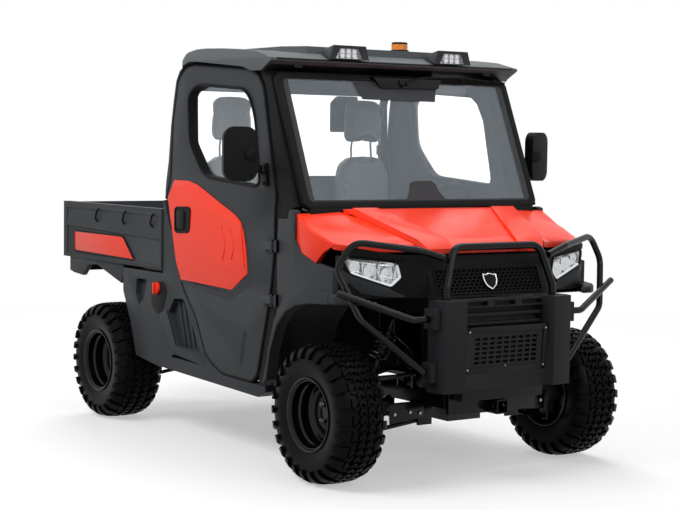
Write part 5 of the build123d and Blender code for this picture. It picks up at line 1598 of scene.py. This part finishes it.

# Painted shade: a thin black plate over the fuel cap's recess stands for the shade in that recess.
shaded_recess_outline = [(1545, 770), (1440, 786), (1392, 742), (1436, 640), (1478, 604), (1530, 622), (1572, 668)]
painted_recess_shade = plate(eased(fore(shaded_recess_outline), 0.030, 5), "X", -side_face - 0.0015, -side_face - 0.0002)
shown(rounded(painted_recess_shade, 0.0005, corner=40), "fuel_recess_painted_shade", black_trim, "root", "grey_panel")
cap_y, cap_z, cap_radius = behind(1499), 0.742, 0.033
cap_disc = rod((-side_face - 0.0005, cap_y, cap_z), (-side_face - 0.018, cap_y, cap_z), cap_radius, 40, 0.030)
cap_bar = block((-side_face - 0.030, cap_y - 0.008, cap_z - 0.030),
                (-side_face - 0.012, cap_y + 0.008, cap_z + 0.030))
fuel_cap = joined("fuel_cap", [rounded(cap_disc, 0.004, segments=3), rounded(cap_bar, 0.005, segments=3)])
shown(fuel_cap, "fuel_cap_with_grip", red_panel, "root", "red_panel", "fuel_cap")
print("side face at", round(side_face, 4))

# %% Flare noses
flare_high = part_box("front_cowls")[1][0]
nose_stations = [   # (behind the front axle, inner x, outer x, low z, high z)
    (-98, flare_high - 0.075, flare_high - 0.0005, 0.8005, 0.8455),
    (-140, flare_high - 0.085, flare_high - 0.006, 0.8005, 0.8440),
    (-176, flare_high - 0.105, flare_high - 0.034, 0.8010, 0.8400),
    (-200, flare_high - 0.140, flare_high - 0.074, 0.8040, 0.8310),
]
rings = [[Vector((x, behind(y), z)) for x, z in ((inner, low), (outer, low), (outer, high), (inner, high))]
         for y, inner, outer, low, high in nose_stations]
nose_faces = [rings[0], rings[-1][::-1]]
for before, after in zip(rings, rings[1:]):
    nose_faces += [[before[k], before[(k + 1) % 4], after[(k + 1) % 4], after[k]] for k in range(4)]
nose = rounded(surface("nose", nose_faces), 0.010, segments=3)
shown(both_sides(nose), "flare_noses", grey_panel, "root", "grey_panel")
print("flare noses made")

# %% [markdown]
# ## Studio
#
# The vehicle stands on a pale floor that fades into a white room. The camera, and the rays that
# gloss and glass send out, see the room as plain white; every other ray sees a softer level, so the
# room lights the vehicle gently and the colours come out as written. The floor is half lit and half
# glowing near the vehicle, which keeps the shadow pale, and all glowing far away, which hides its edge.
# Light that bounces from the floor to the vehicle meets a darker grey, so that the undersides stay dark.

# %% Floor
floor_half = 60.0
shadow_reach = (3.0, 7.0)    # metres from the vehicle's middle over which the floor turns plain white


def seen_as_white(owner, path):
    """1 for the camera's own rays and those that gloss and glass send out, and 0 for all others."""
    direct = add_node(owner, "ShaderNodeMath", {0: path.outputs["Is Camera Ray"],
                                                1: path.outputs["Is Glossy Ray"]}, operation="MAXIMUM")
    return add_node(owner, "ShaderNodeMath", {0: direct.outputs["Value"],
                                              1: path.outputs["Is Transmission Ray"]}, operation="MAXIMUM")


def floor_material():
    material = blank_material("white_painted_studio_floor")
    distance = add_node(material, "ShaderNodeVectorMath", {0: object_place(material)}, operation="LENGTH")
    glow_share = add_node(material, "ShaderNodeMapRange",
                          {"Value": distance.outputs["Value"], "From Min": shadow_reach[0],
                           "From Max": shadow_reach[1], "To Min": 0.45, "To Max": 1.0})
    lit = add_node(material, "ShaderNodeBsdfDiffuse", {"Color": linear("#F6F6F6")})
    glow = add_node(material, "ShaderNodeEmission", {"Color": white_light, "Strength": 1.0})
    path = add_node(material, "ShaderNodeLightPath")
    seen = seen_as_white(material, path)
    share = add_node(material, "ShaderNodeMath", {0: seen.outputs["Value"],
                                                  1: glow_share.outputs["Result"]}, operation="MULTIPLY")
    bounced = add_node(material, "ShaderNodeBsdfDiffuse", {"Color": linear("#5A5A5A")})
    ground = add_node(material, "ShaderNodeMixShader",
                      {0: path.outputs["Is Diffuse Ray"], 1: lit.outputs["BSDF"], 2: bounced.outputs["BSDF"]})
    shader = add_node(material, "ShaderNodeMixShader",
                      {0: share.outputs["Value"], 1: ground.outputs["Shader"], 2: glow.outputs["Emission"]})
    return finished(material, shader)


deselect_all()
bpy.ops.mesh.primitive_plane_add(size=2 * floor_half, location=(0, 0, 0))
floor = bpy.context.active_object
floor.name = "studio_floor"
floor.data.materials.append(floor_material())

# %% Room and lamps
room_level = 0.36            # what the room adds to the vehicle's light
world = bpy.data.worlds.new("white_room")
world.use_nodes = True
world.node_tree.nodes.clear()

path = add_node(world, "ShaderNodeLightPath")
seen = seen_as_white(world, path)
soft = add_node(world, "ShaderNodeBackground", {"Color": white_light, "Strength": room_level})
white = add_node(world, "ShaderNodeBackground", {"Color": white_light, "Strength": 1.0})
both = add_node(world, "ShaderNodeMixShader", {0: seen.outputs["Value"], 1: soft.outputs["Background"],
                                               2: white.outputs["Background"]})
add_node(world, "ShaderNodeOutputWorld", {"Surface": both.outputs["Shader"]})
bpy.context.scene.world = world


def soft_box(name, place, aim, width, height, watts, seen_in_gloss):
    """A rectangular studio lamp that faces a point, and may show in reflections."""
    lamp = bpy.data.lights.new(name, "AREA")
    lamp.shape = "RECTANGLE"
    lamp.size, lamp.size_y, lamp.energy = width, height, watts
    holder = bpy.data.objects.new(name, lamp)
    bpy.context.scene.collection.objects.link(holder)
    holder.location = place
    holder.rotation_euler = (Vector(aim) - Vector(place)).to_track_quat("-Z", "Y").to_euler()
    holder.visible_glossy = seen_in_gloss
    return holder


# (name, place, point it faces, width, height, watts, whether gloss shows it)
lamps = [
    ("overhead_softbox", (1.2, -0.6, 5.2), (0.0, 0.0, 0.6), 4.5, 3.5, 120, True),
    ("back_softbox", (2.6, 5.0, 4.4), (0.0, -0.6, 1.0), 4.5, 3.0, 300, False),
    ("front_softbox", (0.6, -6.2, 3.6), (0.0, -0.6, 0.9), 3.0, 2.0, 70, True),
    ("side_softbox", (-3.6, -0.5, 3.6), (-0.6, 0.1, 1.2), 3.2, 1.4, 135, False),
]
for row in lamps:
    soft_box(*row)
print("lamps:", [row[0] for row in lamps])

# %% Finish
import json
